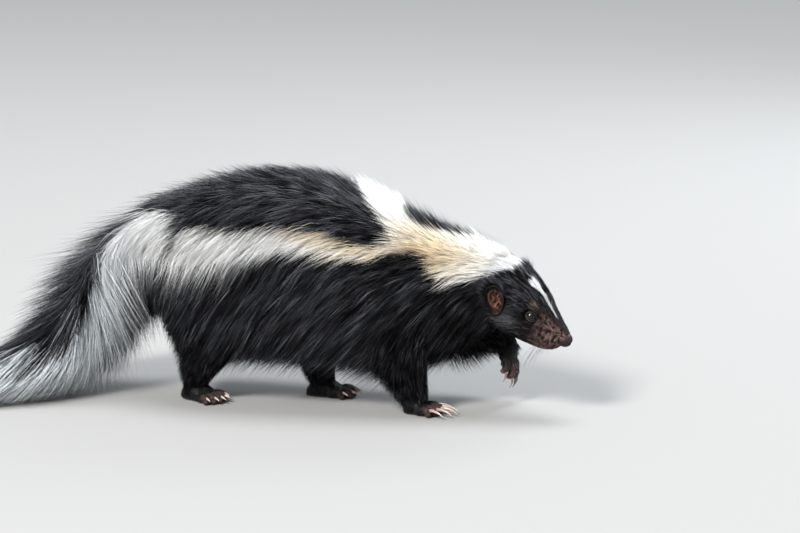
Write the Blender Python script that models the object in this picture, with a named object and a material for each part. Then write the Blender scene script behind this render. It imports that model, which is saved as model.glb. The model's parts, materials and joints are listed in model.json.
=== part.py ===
"""A striped skunk, life size, walking with its left forefoot lifted. Metres, +Z up, nose towards +X.

The neck, trunk and tail share one axis, the spine. A form holds such an axis with two nested
outlines around it: the flesh, and the reach of the coat's tips. A place in the coat is read as a
distance along the axis, an angle round it (0 on top, positive to the animal's left) and a share,
from 0 on the flesh to 1 at the tips. The cores, the locks and the legs all come from such forms.
"""

import math
import random

import bmesh
import bpy
import numpy as np
from mathutils import Matrix, Vector

# Driving sizes
GAP = 0.0003  # kept between nodes that touch
EYE_RADIUS = 0.0053
FLOOR_CLEAR = 0.0012  # between the tail's hair and the floor
CORE_SHARE = 0.42  # how far the cores of the neck and trunk reach into the coat
TAIL_SHARE = 0.25  # and those of the tail
UPPER_POWER = 2.1  # sections above the axis are nearly elliptic
FLESH_POWER = 2.4  # below it they are fuller
COAT_POWER = 3.1  # and the coat hangs straighter than the flesh

# Spine stations from the back of the head to the end of the tail's hair:
# x, y, z, half-width, height above the axis, depth below it, then the coat's depth on each
SPINE = (
    (0.176, -0.010, 0.1190, 0.0240, 0.0260, 0.0250, 0.010, 0.010, 0.009),
    (0.152, -0.004, 0.1160, 0.0290, 0.0340, 0.0330, 0.013, 0.014, 0.012),
    (0.126, 0.000, 0.1110, 0.0350, 0.0420, 0.0400, 0.015, 0.018, 0.017),
    (0.098, 0.001, 0.1100, 0.0400, 0.0500, 0.0470, 0.017, 0.020, 0.022),
    (0.065, 0.001, 0.1130, 0.0450, 0.0580, 0.0540, 0.018, 0.020, 0.027),
    (0.025, 0.000, 0.1200, 0.0500, 0.0680, 0.0620, 0.018, 0.019, 0.029),
    (-0.015, 0.000, 0.1260, 0.0540, 0.0720, 0.0670, 0.018, 0.019, 0.029),
    (-0.055, 0.000, 0.1270, 0.0570, 0.0700, 0.0670, 0.018, 0.020, 0.030),
    (-0.095, 0.000, 0.1260, 0.0560, 0.0620, 0.0640, 0.018, 0.021, 0.033),
    (-0.125, 0.000, 0.1270, 0.0490, 0.0500, 0.0580, 0.018, 0.021, 0.036),
    (-0.150, 0.000, 0.1270, 0.0360, 0.0360, 0.0440, 0.019, 0.021, 0.037),
    (-0.172, -0.001, 0.1230, 0.0200, 0.0200, 0.0210, 0.023, 0.022, 0.036),
    (-0.192, -0.005, 0.1110, 0.0110, 0.0110, 0.0110, 0.029, 0.025, 0.040),
    (-0.208, -0.013, 0.0940, 0.0090, 0.0090, 0.0090, 0.034, 0.027, 0.044),
    (-0.221, -0.026, 0.0760, 0.0080, 0.0080, 0.0080, 0.038, 0.029, 0.048),
    (-0.236, -0.046, 0.0570, 0.0070, 0.0070, 0.0070, 0.041, 0.031, 0.048),
    (-0.256, -0.073, 0.0430, 0.0060, 0.0060, 0.0060, 0.042, 0.030, 0.037),
    (-0.281, -0.102, 0.0330, 0.0050, 0.0050, 0.0050, 0.038, 0.026, 0.028),
    (-0.307, -0.128, 0.0260, 0.0035, 0.0035, 0.0035, 0.031, 0.021, 0.021),
    (-0.331, -0.150, 0.0200, 0.0020, 0.0020, 0.0020, 0.021, 0.014, 0.012),
    (-0.352, -0.168, 0.0150, 0.0010, 0.0010, 0.0010, 0.008, 0.006, 0.005),
)

# Where the spine is parted, as distances along it
NECK_END = 0.058
TRUNK_END = 0.352
TAIL_PARTS = (0.432, 0.505)
TAIL_CORE_END = 0.600

# The head's own axis: it points down and is turned and tipped a little to the animal's right
NOSE_TIP = Vector((0.2435, -0.0240, 0.0736))
HEAD_PITCH = math.radians(28)
HEAD_YAW = math.radians(11)
HEAD_ROLL = math.radians(6)
CROWN_POWER = 2.7  # the top of the head is flat and broad
JAW_POWER = 2.3

# Head stations: distance back from the nose tip, half-width, top, bottom
HEAD = (
    (0.0040, 0.0055, 0.0042, 0.0072),
    (0.0065, 0.0071, 0.0055, 0.0112),
    (0.0100, 0.0089, 0.0072, 0.0156),
    (0.0150, 0.0109, 0.0091, 0.0195),
    (0.0200, 0.0126, 0.0114, 0.0216),
    (0.0260, 0.0146, 0.0147, 0.0229),
    (0.0330, 0.0172, 0.0190, 0.0237),
    (0.0400, 0.0200, 0.0234, 0.0242),
    (0.0480, 0.0228, 0.0272, 0.0245),
    (0.0580, 0.0256, 0.0310, 0.0248),
    (0.0700, 0.0276, 0.0334, 0.0248),
    (0.0820, 0.0276, 0.0330, 0.0243),
    (0.0920, 0.0252, 0.0296, 0.0223),
    (0.0990, 0.0190, 0.0218, 0.0170),
    (0.1020, 0.0085, 0.0104, 0.0076),
)

# Swellings of the head: place along it, place round it, their spreads, and how far they stand out
HEAD_SHAPES = (
    (0.0384, 0.86, 0.0080, 0.22, 0.0013),  # brow
    (0.0374, 1.26, 0.0065, 0.20, -0.0022),  # orbit
    (0.0620, 1.90, 0.0140, 0.40, 0.0018),  # cheek
    (0.0170, 1.95, 0.0100, 0.24, 0.0014),  # upper lip
    (0.0230, 0.55, 0.0080, 0.30, 0.0007),  # side of the bridge
)

# Places on the head in its own frame: back from the nose tip, out to the side, up
EYE_PLACE = (0.0386, 0.0150, 0.0058)
EAR_PLACE = (0.0743, 0.0255, 0.0085)
NOSE_PLACE = (0.0054, 0.0, -0.0026)
NOSE_SIZE = (0.0064, 0.0066, 0.0058)  # half-lengths: along, across, up
EAR_SIZE = (0.0075, 0.0094, 0.0150)  # half-lengths: out, along, up
EAR_HOLLOW = (0.0075, 0.0073, 0.0120)  # the same for the hollow inside
EAR_HOLLOW_OUT = 0.0046  # how far the hollow's middle lies outside the ear's
LID_LONG, LID_HIGH = 0.0050, 0.0039  # half-lengths of the opening between the lids
LID_RIM = 0.0011  # radius of the lids' rim
LID_COUNT, LID_SIDES = 12, 5
# A nostril's middle line, in the head's frame, and its radii
NOSTRIL = (
    (-0.0016, 0.0020, -0.0024),
    (0.0012, 0.0036, -0.0022),
    (0.0034, 0.0060, -0.0028),
    (0.0052, 0.0088, -0.0040),
)
NOSTRIL_RADII = (0.0013, 0.0014, 0.0010, 0.0007)
# The closed mouth from its middle to a corner: distance back, place round the head
MOUTH = (
    (0.0092, 3.14),
    (0.0100, 2.62),
    (0.0140, 2.34),
    (0.0200, 2.22),
    (0.0270, 2.17),
    (0.0345, 2.16),
)
MOUTH_WIDTH = 0.0008
HEAD_RINGS, HEAD_SIDES = 25, 24
HEAD_CLOSER = 1.15  # above 1, so that the head's rings lie closer together towards the nose

# Legs: the joints from the root to the ankle or wrist, each with its radius along and across
FORELEG_RIGHT = (
    (0.095, -0.030, 0.104, 0.028, 0.014),
    (0.090, -0.037, 0.078, 0.029, 0.017),
    (0.090, -0.040, 0.055, 0.026, 0.016),
    (0.094, -0.039, 0.036, 0.020, 0.014),
    (0.099, -0.037, 0.021, 0.0145, 0.0125),
    (0.102, -0.036, 0.012, 0.0115, 0.0115),
)
FORELEG_LEFT = (
    (0.092, 0.028, 0.104, 0.026, 0.014),
    (0.102, 0.035, 0.083, 0.022, 0.016),
    (0.120, 0.037, 0.069, 0.019, 0.016),
    (0.140, 0.035, 0.064, 0.0150, 0.014),
    (0.157, 0.033, 0.064, 0.0120, 0.012),
    (0.169, 0.031, 0.060, 0.0108, 0.0115),
    (0.174, 0.030, 0.051, 0.0098, 0.0110),
)
HINDLEG_RIGHT = (
    (-0.100, -0.026, 0.110, 0.034, 0.022),
    (-0.093, -0.034, 0.084, 0.035, 0.021),
    (-0.092, -0.040, 0.060, 0.030, 0.0185),
    (-0.101, -0.040, 0.039, 0.0195, 0.0150),
    (-0.108, -0.039, 0.022, 0.0128, 0.0122),
    (-0.109, -0.038, 0.012, 0.0106, 0.0112),
)
HINDLEG_LEFT = (
    (-0.078, 0.026, 0.110, 0.034, 0.022),
    (-0.046, 0.028, 0.084, 0.030, 0.020),
    (-0.016, 0.024, 0.062, 0.0250, 0.0180),
    (-0.005, 0.018, 0.042, 0.0195, 0.0155),
    (-0.004, 0.013, 0.026, 0.0140, 0.0130),
    (-0.001, 0.011, 0.014, 0.0110, 0.0120),
)
LEG_EASE = 0.040
SPINE_EASE = 0.035
EASE_STEPS = 240
LIMB_RINGS, LIMB_SIDES = 10, 12
LIMB_DOME = 0.6  # height of a limb's rounded end against its radius
MOST_SHARP = 3.0  # limit on how far a sharp corner moves when a piece swells

# Feet: sole length, width, height at the ankle, toe length, claw length
FOREFOOT = (0.021, 0.0255, 0.021, 0.0110, 0.0180)
HINDFOOT = (0.031, 0.0255, 0.021, 0.0105, 0.0095)
TOES = 5
TOE_RADIUS = 0.0044
TOE_SPREAD = 0.30
BALL = 0.62  # share of the sole's length in front of the ankle
# Sections of a foot: place along it, share of its width, share of its height
FOOT_PROFILE = (
    (-0.50, 0.30, 0.34),
    (-0.30, 0.74, 0.72),
    (0.05, 0.90, 0.84),
    (0.40, 1.00, 0.58),
    (0.66, 0.86, 0.36),
)
FOOT_SIDES = 8
ANKLE_HEIGHT = 0.004  # above the last joint, where a leg is parted from its foot
ANKLE_REACH = 0.035

# The coat's locks: length, greatest width and thickness
NECK_LOCK = (0.054, 0.036, 0.0032)
TRUNK_LOCK = (0.064, 0.036, 0.0034)
TAIL_LOCK = (0.092, 0.029, 0.0032)
TIP_LOCK = (0.068, 0.027, 0.0030)
LOCK_SINK = 0.26  # how far below the core's surface a root starts, as a share of the coat
LOCK_RISE = 0.80  # under 1, so that a lock leaves the core early and then lies along it
# A lock's outline: share of its length, of its width, of its thickness
LOCK_OUTLINE = ((0.0, 0.66, 1.0), (0.42, 1.0, 1.0), (0.76, 0.72, 0.66))
FLOOR_SOFT = 0.006  # how gently the hair turns along the floor
TINY = 1e-6

BLACK_FUR = (0.012, 0.012, 0.014)
WHITE_FUR = (0.82, 0.80, 0.74)
BARE_SKIN = (0.10, 0.055, 0.05)
EYE_COLOUR = (0.006, 0.005, 0.005)


class Form:
    """An axis with an outline of flesh and one of the coat's tips round it."""

    def __init__(self, stations, reference, ease):
        """The sections turn with the axis averaged over the length ease, so that they never cross at a bend."""
        self.rows = np.array(stations, float)
        self.reference = np.array(reference, float)
        steps = np.linalg.norm(np.diff(self.rows[:, :3], axis=0), axis=1)
        self.knots = np.concatenate([[0.0], np.cumsum(steps)])
        spans = self.knots[2:] - self.knots[:-2]
        inner = (self.rows[2:] - self.rows[:-2]) / spans[:, None]
        first = (self.rows[1] - self.rows[0]) / steps[0]
        last = (self.rows[-1] - self.rows[-2]) / steps[-1]
        self.slopes = np.vstack([first, inner, last])
        self.grid = np.linspace(0, self.knots[-1], EASE_STEPS)
        _, turned = self.read(self.grid)
        near = np.exp(-(((self.grid[:, None] - self.grid[None, :]) / ease) ** 2))
        facing = near @ turned
        self.facing = facing / np.linalg.norm(facing, axis=1, keepdims=True)

    def read(self, along):
        """A station at this distance along the axis, and the axis's direction there."""
        knots = self.knots
        along = np.atleast_1d(np.asarray(along, float))
        i = np.clip(np.searchsorted(knots, along) - 1, 0, len(knots) - 2)
        span = knots[i + 1] - knots[i]
        t = ((along - knots[i]) / span)[:, None]
        before, after = self.rows[i], self.rows[i + 1]
        m0, m1 = self.slopes[i] * span[:, None], self.slopes[i + 1] * span[:, None]
        value = (
            (2 * t**3 - 3 * t**2 + 1) * before
            + (t**3 - 2 * t**2 + t) * m0
            + (3 * t**2 - 2 * t**3) * after
            + (t**3 - t**2) * m1
        )
        rate = (
            (6 * t**2 - 6 * t) * (before - after)
            + (3 * t**2 - 4 * t + 1) * m0
            + (3 * t**2 - 2 * t) * m1
        )[:, :3]
        return value, rate / np.linalg.norm(rate, axis=1, keepdims=True)

    def point(self, along, angle, share):
        """Places in the coat. Every argument is a number or an array of one length."""
        along, angle, share = np.broadcast_arrays(
            *(np.atleast_1d(np.asarray(v, float)) for v in (along, angle, share))
        )
        row, _ = self.read(along)
        tangent = np.stack([np.interp(along, self.grid, self.facing[:, k]) for k in range(3)], 1)
        tangent /= np.linalg.norm(tangent, axis=1, keepdims=True)
        side = np.cross(tangent, self.reference)
        side /= np.linalg.norm(side, axis=1, keepdims=True)
        up = np.cross(side, tangent)
        sine, cosine = np.sin(angle), np.cos(angle)
        lower = np.clip(FLESH_POWER + (COAT_POWER - FLESH_POWER) * share, 2.0, COAT_POWER)
        power = 2 / np.where(cosine >= 0, UPPER_POWER, lower)
        coat = share[:, None] * row[:, 6:9] if row.shape[1] > 6 else np.zeros((len(row), 3))
        wide = row[:, 3] + coat[:, 0]
        high = np.where(cosine >= 0, row[:, 4] + coat[:, 1], row[:, 5] + coat[:, 2])
        across = (wide * np.sign(sine) * np.abs(sine) ** power)[:, None]
        above = (high * np.sign(cosine) * np.abs(cosine) ** power)[:, None]
        return row[:, :3] + side * across + up * above

    def radius(self, along, angle, share):
        row, _ = self.read(along)
        return float(np.linalg.norm(self.point(along, angle, share)[0] - row[0, :3]))


def clear_scene():
    for obj in list(bpy.data.objects):
        bpy.data.objects.remove(obj)


def material(name, colour, roughness):
    made = bpy.data.materials.new(name)
    made.use_nodes = True
    shader = made.node_tree.nodes["Principled BSDF"]
    shader.inputs["Base Color"].default_value = (*colour, 1)
    shader.inputs["Roughness"].default_value = roughness
    shader.inputs["Metallic"].default_value = 0.0
    made.diffuse_color = (*colour, 1)
    return made


def object_of(name, points, faces):
    mesh = bpy.data.meshes.new(name)
    mesh.from_pydata([tuple(p) for p in points], [], faces)
    mesh.update()
    made = bpy.data.objects.new(name, mesh)
    bpy.context.scene.collection.objects.link(made)
    face_outwards(made)
    return made


def face_outwards(obj):
    mesh = bmesh.new()
    mesh.from_mesh(obj.data)
    bmesh.ops.recalc_face_normals(mesh, faces=mesh.faces)
    if mesh.calc_volume(signed=True) < 0:
        bmesh.ops.reverse_faces(mesh, faces=mesh.faces)
    mesh.to_mesh(obj.data)
    mesh.free()


def hull_of_rings(name, rings, start=None, end=None):
    """A closed mesh through rings of points, closed by a flat face or drawn to a point at each end."""
    sides = len(rings[0])
    points = [p for ring in rings for p in ring]
    faces = []
    for i in range(len(rings) - 1):
        for j in range(sides):
            k = (j + 1) % sides
            a, b = i * sides, (i + 1) * sides
            faces.append((a + j, a + k, b + k))
            faces.append((a + j, b + k, b + j))
    for tip, first in ((start, 0), (end, (len(rings) - 1) * sides)):
        ring = [first + j for j in range(sides)]
        if tip is None:
            faces.append(tuple(ring))
            continue
        points.append(tip)
        top = len(points) - 1
        faces.extend((ring[j], ring[(j + 1) % sides], top) for j in range(sides))
    return object_of(name, points, faces)


def core_of(name, form, start, end, share, rings, sides):
    """The solid middle of a form between two places along its axis, with flat ends."""
    angles = np.linspace(0, 2 * math.pi, sides, endpoint=False)
    return hull_of_rings(name, [form.point(s, angles, share) for s in np.linspace(start, end, rings)])


def rounded_limb(name, form, rings, sides):
    """A form's flesh from end to end, with domed ends."""
    angles = np.linspace(0, 2 * math.pi, sides, endpoint=False)
    length = form.knots[-1]
    sections = [form.point(s, angles, 0.0) for s in np.linspace(0, length, rings)]
    (first, last), (out, on) = form.read([0.0, length])
    start = first[:3] - out * first[3] * LIMB_DOME
    end = last[:3] + on * last[3] * LIMB_DOME
    return hull_of_rings(name, sections, start, end)


def swollen(obj, distance=GAP):
    """The same piece with its faces moved outwards, to cut a neighbour clear of it."""
    mesh = bmesh.new()
    mesh.from_mesh(obj.data)
    mesh.normal_update()
    moves = [v.normal * distance * min(v.calc_shell_factor(), MOST_SHARP) for v in mesh.verts]
    for vertex, move in zip(mesh.verts, moves):
        vertex.co += move
    mesh.to_mesh(obj.data)
    mesh.free()
    return obj


def tube(name, points, radii, sides, pointed=True, flatten=1.0):
    """A round piece along a few points, with the last one as its tip where pointed is set."""
    points = [Vector(p) for p in points]
    angles = [2 * math.pi * j / sides for j in range(sides)]
    rings = []
    count = len(points) - 1 if pointed else len(points)
    for i in range(count):
        ahead = points[min(i + 1, len(points) - 1)] - points[max(i - 1, 0)]
        side = ahead.cross(Vector((0, 0, 1)))
        side = side.normalized() if side.length > 1e-9 else Vector((0, 1, 0))
        up = side.cross(ahead).normalized()
        rings.append(
            [
                points[i] + (side * math.cos(a) + up * math.sin(a) * flatten) * radii[i]
                for a in angles
            ]
        )
    return hull_of_rings(name, rings, None, points[-1] if pointed else None)


def ellipsoid(name, centre, axes, sizes, segments, rings):
    """A ball stretched along three axes."""
    sections = []
    for i in range(1, rings):
        polar = math.pi * i / rings
        section = []
        for j in range(segments):
            turn = 2 * math.pi * j / segments
            local = (
                math.cos(polar) * sizes[0],
                math.sin(polar) * math.cos(turn) * sizes[1],
                math.sin(polar) * math.sin(turn) * sizes[2],
            )
            section.append(centre + sum((axes[k] * local[k] for k in range(3)), Vector()))
        sections.append(section)
    poles = (centre + axes[0] * sizes[0], centre - axes[0] * sizes[0])
    return hull_of_rings(name, sections, *poles)


def combine(base, others, operation):
    """One Boolean of base with the closed meshes in others, which are removed."""
    if not others:
        return base
    group = bpy.data.collections.new(base.name + "_pieces")
    bpy.context.scene.collection.children.link(group)
    for other in others:
        group.objects.link(other)
    boolean = base.modifiers.new(operation.lower(), "BOOLEAN")
    boolean.operand_type = "COLLECTION"
    boolean.collection = group
    boolean.operation = operation
    boolean.solver = "MANIFOLD"
    graph = bpy.context.evaluated_depsgraph_get()
    result = bpy.data.meshes.new_from_object(base.evaluated_get(graph))
    base.modifiers.clear()
    base.data = result
    for other in others:
        bpy.data.objects.remove(other)
    bpy.data.collections.remove(group)
    keep_largest(base)
    return base


def keep_largest(obj):
    """Leaves only the closed surface with the largest volume, so that no scrap stays behind."""
    mesh = bmesh.new()
    mesh.from_mesh(obj.data)
    bmesh.ops.triangulate(mesh, faces=mesh.faces)
    seen, groups = set(), []
    for face in mesh.faces:
        if face in seen:
            continue
        group, stack = [], [face]
        seen.add(face)
        while stack:
            current = stack.pop()
            group.append(current)
            for edge in current.edges:
                for near in edge.link_faces:
                    if near not in seen:
                        seen.add(near)
                        stack.append(near)
        groups.append(group)
    groups.sort(key=lambda g: abs(volume_of(g)))
    scraps = [face for group in groups[:-1] for face in group]
    bmesh.ops.delete(mesh, geom=scraps, context="FACES")
    mesh.to_mesh(obj.data)
    mesh.free()


def volume_of(faces):
    total = 0.0
    for face in faces:
        a, b, c = (v.co for v in face.verts)
        total += a.dot(b.cross(c)) / 6
    return total


def lock(form, along, angle, size, drift, lift, root_share, bend):
    """A flat, tapered lock that wraps the form, rooted in its core and risen to the coat's reach at the tip."""
    length, width, thickness = size
    rings = []
    for t, wide, thick in LOCK_OUTLINE:
        s = along + length * t
        turn = angle + drift * t + bend * t * t
        share = root_share + (lift - root_share) * t**LOCK_RISE
        reach = form.radius(s, turn, share)
        half = width * wide / 2 / reach
        rise = thickness * thick * share / (reach - form.radius(s, turn, 0.0) + TINY)
        rings.append(above_floor(form.point(s, (turn - half, turn, turn + half), (share, share + rise, share))))
    tip = form.point(along + length, angle + drift + bend, lift)
    return hull_of_rings("lock", rings, None, above_floor(tip)[0])


def above_floor(points):
    """Bends whatever would pass through the floor along it."""
    points = points.copy()
    high = points[:, 2] - FLOOR_CLEAR
    points[:, 2] = FLOOR_CLEAR + (high + np.sqrt(high**2 + FLOOR_SOFT**2)) / 2
    return points


def grow_locks(form, starts, size, share, bare, fall, chance):
    """Rows of locks along the axis, each row offset from the last, none beyond the angle bare from the top."""
    made = []
    for n, along in enumerate(starts):
        reach = form.radius(along + size[0] * 0.4, math.pi / 2, 0.7)
        count = max(5, round(2 * math.pi * reach / size[1]))
        for j in range(count):
            angle = 2 * math.pi * (j + 0.5 * (n % 2)) / count + chance.uniform(-0.06, 0.06)
            angle = (angle + math.pi) % (2 * math.pi) - math.pi
            long = size[0] * chance.uniform(0.88, 1.08)
            wide = size[1] * chance.uniform(0.88, 1.02)
            lift, bend = chance.uniform(0.88, 1.0), chance.uniform(-0.08, 0.08)
            if abs(angle) > bare:
                continue
            drift = fall * size[0] / form.radius(along, angle, 0.5) * math.sin(angle)
            here = along + chance.uniform(-0.004, 0.004)
            made.append(lock(form, here, angle, (long, wide, size[2]), drift, lift, share - LOCK_SINK, bend))
    return made


def head_axes():
    """The head's forward, right-hand and up directions."""
    turn = Matrix.Rotation(-HEAD_YAW, 3, "Z") @ Matrix.Rotation(HEAD_PITCH, 3, "Y")
    turn = turn @ Matrix.Rotation(HEAD_ROLL, 3, "X")
    return turn @ Vector((1, 0, 0)), turn @ Vector((0, -1, 0)), turn @ Vector((0, 0, 1))


def on_head(back, out, up, side=1):
    """A place in the head's own frame. side is 1 for the animal's right and -1 for its left."""
    forward, right, above = head_axes()
    return NOSE_TIP - forward * back + right * (out * side) + above * up


def head_surface(back, angle, lift=0.0):
    """A point on the head: its stations, with the brows, orbits, cheeks and lips of HEAD_SHAPES."""
    rows = np.array(HEAD)
    wide, top, bottom = (np.interp(back, rows[:, 0], rows[:, k]) for k in (1, 2, 3))
    sine, cosine = math.sin(angle), math.cos(angle)
    out = lift
    for middle, turn, length, width, rise in HEAD_SHAPES:
        away = abs((angle + math.pi) % (2 * math.pi) - math.pi) - turn
        out += rise * math.exp(-(((back - middle) / length) ** 2) - (away / width) ** 2)
    power = 2 / (CROWN_POWER if cosine >= 0 else JAW_POWER)
    high = top if cosine >= 0 else bottom
    across = (wide + out) * math.copysign(abs(sine) ** power, sine)
    above = (high + out) * math.copysign(abs(cosine) ** power, cosine)
    return on_head(back, across, above)


def make_head_shell():
    first, last = HEAD[0][0], HEAD[-1][0]
    sections = []
    for n in range(HEAD_RINGS):
        back = first + (last - first) * (n / (HEAD_RINGS - 1)) ** HEAD_CLOSER
        angles = (2 * math.pi * (j + 0.5) / HEAD_SIDES for j in range(HEAD_SIDES))
        sections.append([head_surface(back, angle) for angle in angles])
    return hull_of_rings("head", sections, on_head(first - 0.0015, 0, 0), on_head(last + 0.0010, 0, 0))


def eye_centre(side):
    return on_head(*EYE_PLACE, side)


def eye_axes(side):
    """The way an eye looks, then its own forward and up directions."""
    forward, right, above = head_axes()
    look = (right * side * 0.80 + above * 0.42 + forward * 0.42).normalized()
    level = (forward - look * forward.dot(look)).normalized()
    return look, level, look.cross(level).normalized() * side


def eyelid_rim(side):
    """The two lids as one almond-shaped rim that lies on the eyeball."""
    look, level, upright = eye_axes(side)
    centre = eye_centre(side)
    section = [2 * math.pi * k / LID_SIDES for k in range(LID_SIDES)]
    rings = []
    for i in range(LID_COUNT):
        turn = 2 * math.pi * i / LID_COUNT
        flat = level * (LID_LONG * math.cos(turn)) + upright * (LID_HIGH * math.sin(turn))
        reach = EYE_RADIUS + LID_RIM * 0.35
        depth = math.sqrt(max(reach**2 - flat.length_squared, 0.0))
        middle = centre + flat + look * depth
        out = (middle - centre).normalized()
        away = flat.normalized()
        across = (away - out * away.dot(out)).normalized()
        rings.append([middle + (across * math.cos(a) * 1.25 + out * math.sin(a)) * LID_RIM for a in section])
    return closed_loop("eyelids", rings)


def closed_loop(name, rings):
    """A ring-shaped piece whose last section joins its first."""
    sides, count = len(rings[0]), len(rings)
    points = [p for ring in rings for p in ring]
    faces = []
    for i in range(count):
        for j in range(sides):
            a, b, k = i * sides, ((i + 1) % count) * sides, (j + 1) % sides
            faces.append((a + j, a + k, b + k))
            faces.append((a + j, b + k, b + j))
    return object_of(name, points, faces)


def nose_pad():
    return ellipsoid("nose", on_head(*NOSE_PLACE), head_axes(), NOSE_SIZE, 12, 8)


def nostril(side):
    """A comma-shaped opening that runs back and outwards."""
    points = [on_head(*place, side) for place in NOSTRIL]
    return tube("nostril", points, NOSTRIL_RADII, 6, pointed=False)


def mouth_cutter():
    """The line of the closed mouth, from one corner round the front to the other."""
    right = [head_surface(back, angle, -MOUTH_WIDTH * 0.2) for back, angle in MOUTH[1:]]
    left = [head_surface(back, -angle, -MOUTH_WIDTH * 0.2) for back, angle in MOUTH[1:]]
    points = left[::-1] + [head_surface(*MOUTH[0])] + right
    return tube("mouth", points, [MOUTH_WIDTH] * len(points), 4, pointed=False)


def ear_axes(side):
    """The way an ear's cup opens, then forwards along its rim, then up."""
    forward, right, above = head_axes()
    opening = (right * side * 0.84 + forward * 0.50 + above * 0.05).normalized()
    upright = above * 0.85 - forward * 0.50
    upright = (upright - opening * upright.dot(opening)).normalized()
    return opening, upright.cross(opening).normalized() * side, upright


def ear_outside(side):
    return ellipsoid("ear", on_head(*EAR_PLACE, side), ear_axes(side), EAR_SIZE, 12, 8)


def make_ear(side, name):
    """A small round cup with a hollow that opens outwards and forwards."""
    made = ear_outside(side)
    axes = ear_axes(side)
    centre = on_head(*EAR_PLACE, side) + axes[0] * EAR_HOLLOW_OUT
    cup = ellipsoid("hollow", centre, axes, EAR_HOLLOW, 11, 6)
    combine(made, [cup], "DIFFERENCE")
    made.name = name
    return made


def eyeball(name, side):
    return ellipsoid(name, eye_centre(side), eye_axes(side), [EYE_RADIUS] * 3, 10, 8)


def make_head():
    head = make_head_shell()
    combine(head, [eyelid_rim(1), eyelid_rim(-1)], "UNION")
    cutters = [swollen(nose_pad()), mouth_cutter()]
    for side in (1, -1):
        cutters += [swollen(ear_outside(side)), swollen(eyeball("socket", side))]
    return combine(head, cutters, "DIFFERENCE")


def make_nose():
    return combine(nose_pad(), [nostril(1), nostril(-1)], "DIFFERENCE")


def leg_form(joints):
    """A leg's form: radii along the body and across it, with the front as its top."""
    stations = [(x, y, z, across, along, along) for x, y, z, along, across in joints]
    return Form(stations, (1, 0, 0), LEG_EASE)


def foot_matrix(joints, heading, pitch):
    """The foot's own frame: forwards, to the animal's left and up, from the leg's last joint."""
    turn = Matrix.Rotation(heading, 4, "Z") @ Matrix.Rotation(pitch, 4, "Y")
    return Matrix.Translation(Vector(joints[-1][:3])) @ turn


def chain(start, out, angles, lengths):
    """Points reached from start by steps along out, each tilted up by its angle."""
    points = [start]
    for angle, length in zip(angles, lengths):
        points.append(points[-1] + (out * math.cos(angle) + Vector((0, 0, math.sin(angle)))) * length)
    return points


def toe_and_claw(frame, place, size, drop, curl, first):
    """One toe and its claw. place runs from -1 to 1 across the foot, and the first toe is set back."""
    sole, width, height, toe, claw = size
    spread = place * TOE_SPREAD
    out = Vector((math.cos(spread), math.sin(spread), 0))
    back = sole * BALL - 0.20 * width * place**2 - (0.12 * width if first else 0)
    root = Vector((back, place * width * 0.40, TOE_RADIUS - drop))
    tilts = [0.30 - 0.4 * curl, -0.25 - 0.8 * curl]
    toe_points = chain(root - out * toe * 0.3, out, tilts, (toe * 0.75, toe * 0.55))
    start = toe_points[-1] - out * 0.003 + Vector((0, 0, 0.0010))
    tilts = [0.12 - curl, -0.18 - 1.3 * curl, -0.50 - 1.6 * curl]
    claw_points = chain(start, out, tilts, [claw * step for step in (0.45, 0.40, 0.35)])
    toe_points.append(toe_points[-1] + (toe_points[-1] - toe_points[-2]).normalized() * 0.0024)
    radii = (TOE_RADIUS, TOE_RADIUS, TOE_RADIUS * 0.72)
    return [
        tube("toe", [frame @ p for p in toe_points], radii, 5),
        tube("claw", [frame @ p for p in claw_points], (0.0020, 0.0017, 0.0012), 4),
    ]


def make_foot(name, joints, size, heading, pitch, curl, inner):
    """A flat foot with five toes and their claws. inner is 1 where the first toe is on the left."""
    sole, width, height, toe, claw = size
    frame = foot_matrix(joints, heading, pitch)
    drop = height * 0.55 if curl else joints[-1][2]
    rings = []
    for x, wide, high in FOOT_PROFILE:
        ring = []
        for j in range(FOOT_SIDES):
            turn = 2 * math.pi * j / FOOT_SIDES
            y = math.sin(turn) * width * 0.5 * wide
            z = -drop + height * high * (0.5 + 0.62 * math.cos(turn))
            ring.append(frame @ Vector((x * sole, y, z)))
        rings.append(ring)
    foot = hull_of_rings(name, rings)
    pieces = []
    for n in range(TOES):
        place = -1 + 2 * n / (TOES - 1)
        pieces += toe_and_claw(frame, place, size, drop, curl, place * inner > 0.9)
    combine(foot, pieces, "UNION")
    if not curl:
        combine(foot, [floor_block()], "DIFFERENCE")
    return foot


def floor_block():
    """What lies below the floor, which cuts the soles flat."""
    half, deep = 0.5, 0.05
    low = [(x, y, -deep) for x, y in ((-half, -half), (half, -half), (half, half), (-half, half))]
    high = [(x, y, 0.0) for x, y, _ in low]
    return hull_of_rings("floor", [low, high])


# Legs: names of leg and foot, joints, foot size, heading, pitch, curl of the toes, side of the first toe
LEGS = (
    ("foreleg_right", "forefoot_right", FORELEG_RIGHT, FOREFOOT, -0.10, 0.0, 0.0, 1),
    ("foreleg_left", "forefoot_left", FORELEG_LEFT, FOREFOOT, -0.05, 1.05, 0.35, -1),
    ("hindleg_right", "hindfoot_right", HINDLEG_RIGHT, HINDFOOT, -0.38, 0.0, 0.0, 1),
    ("hindleg_left", "hindfoot_left", HINDLEG_LEFT, HINDFOOT, 0.05, 0.0, 0.0, -1),
)


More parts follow.
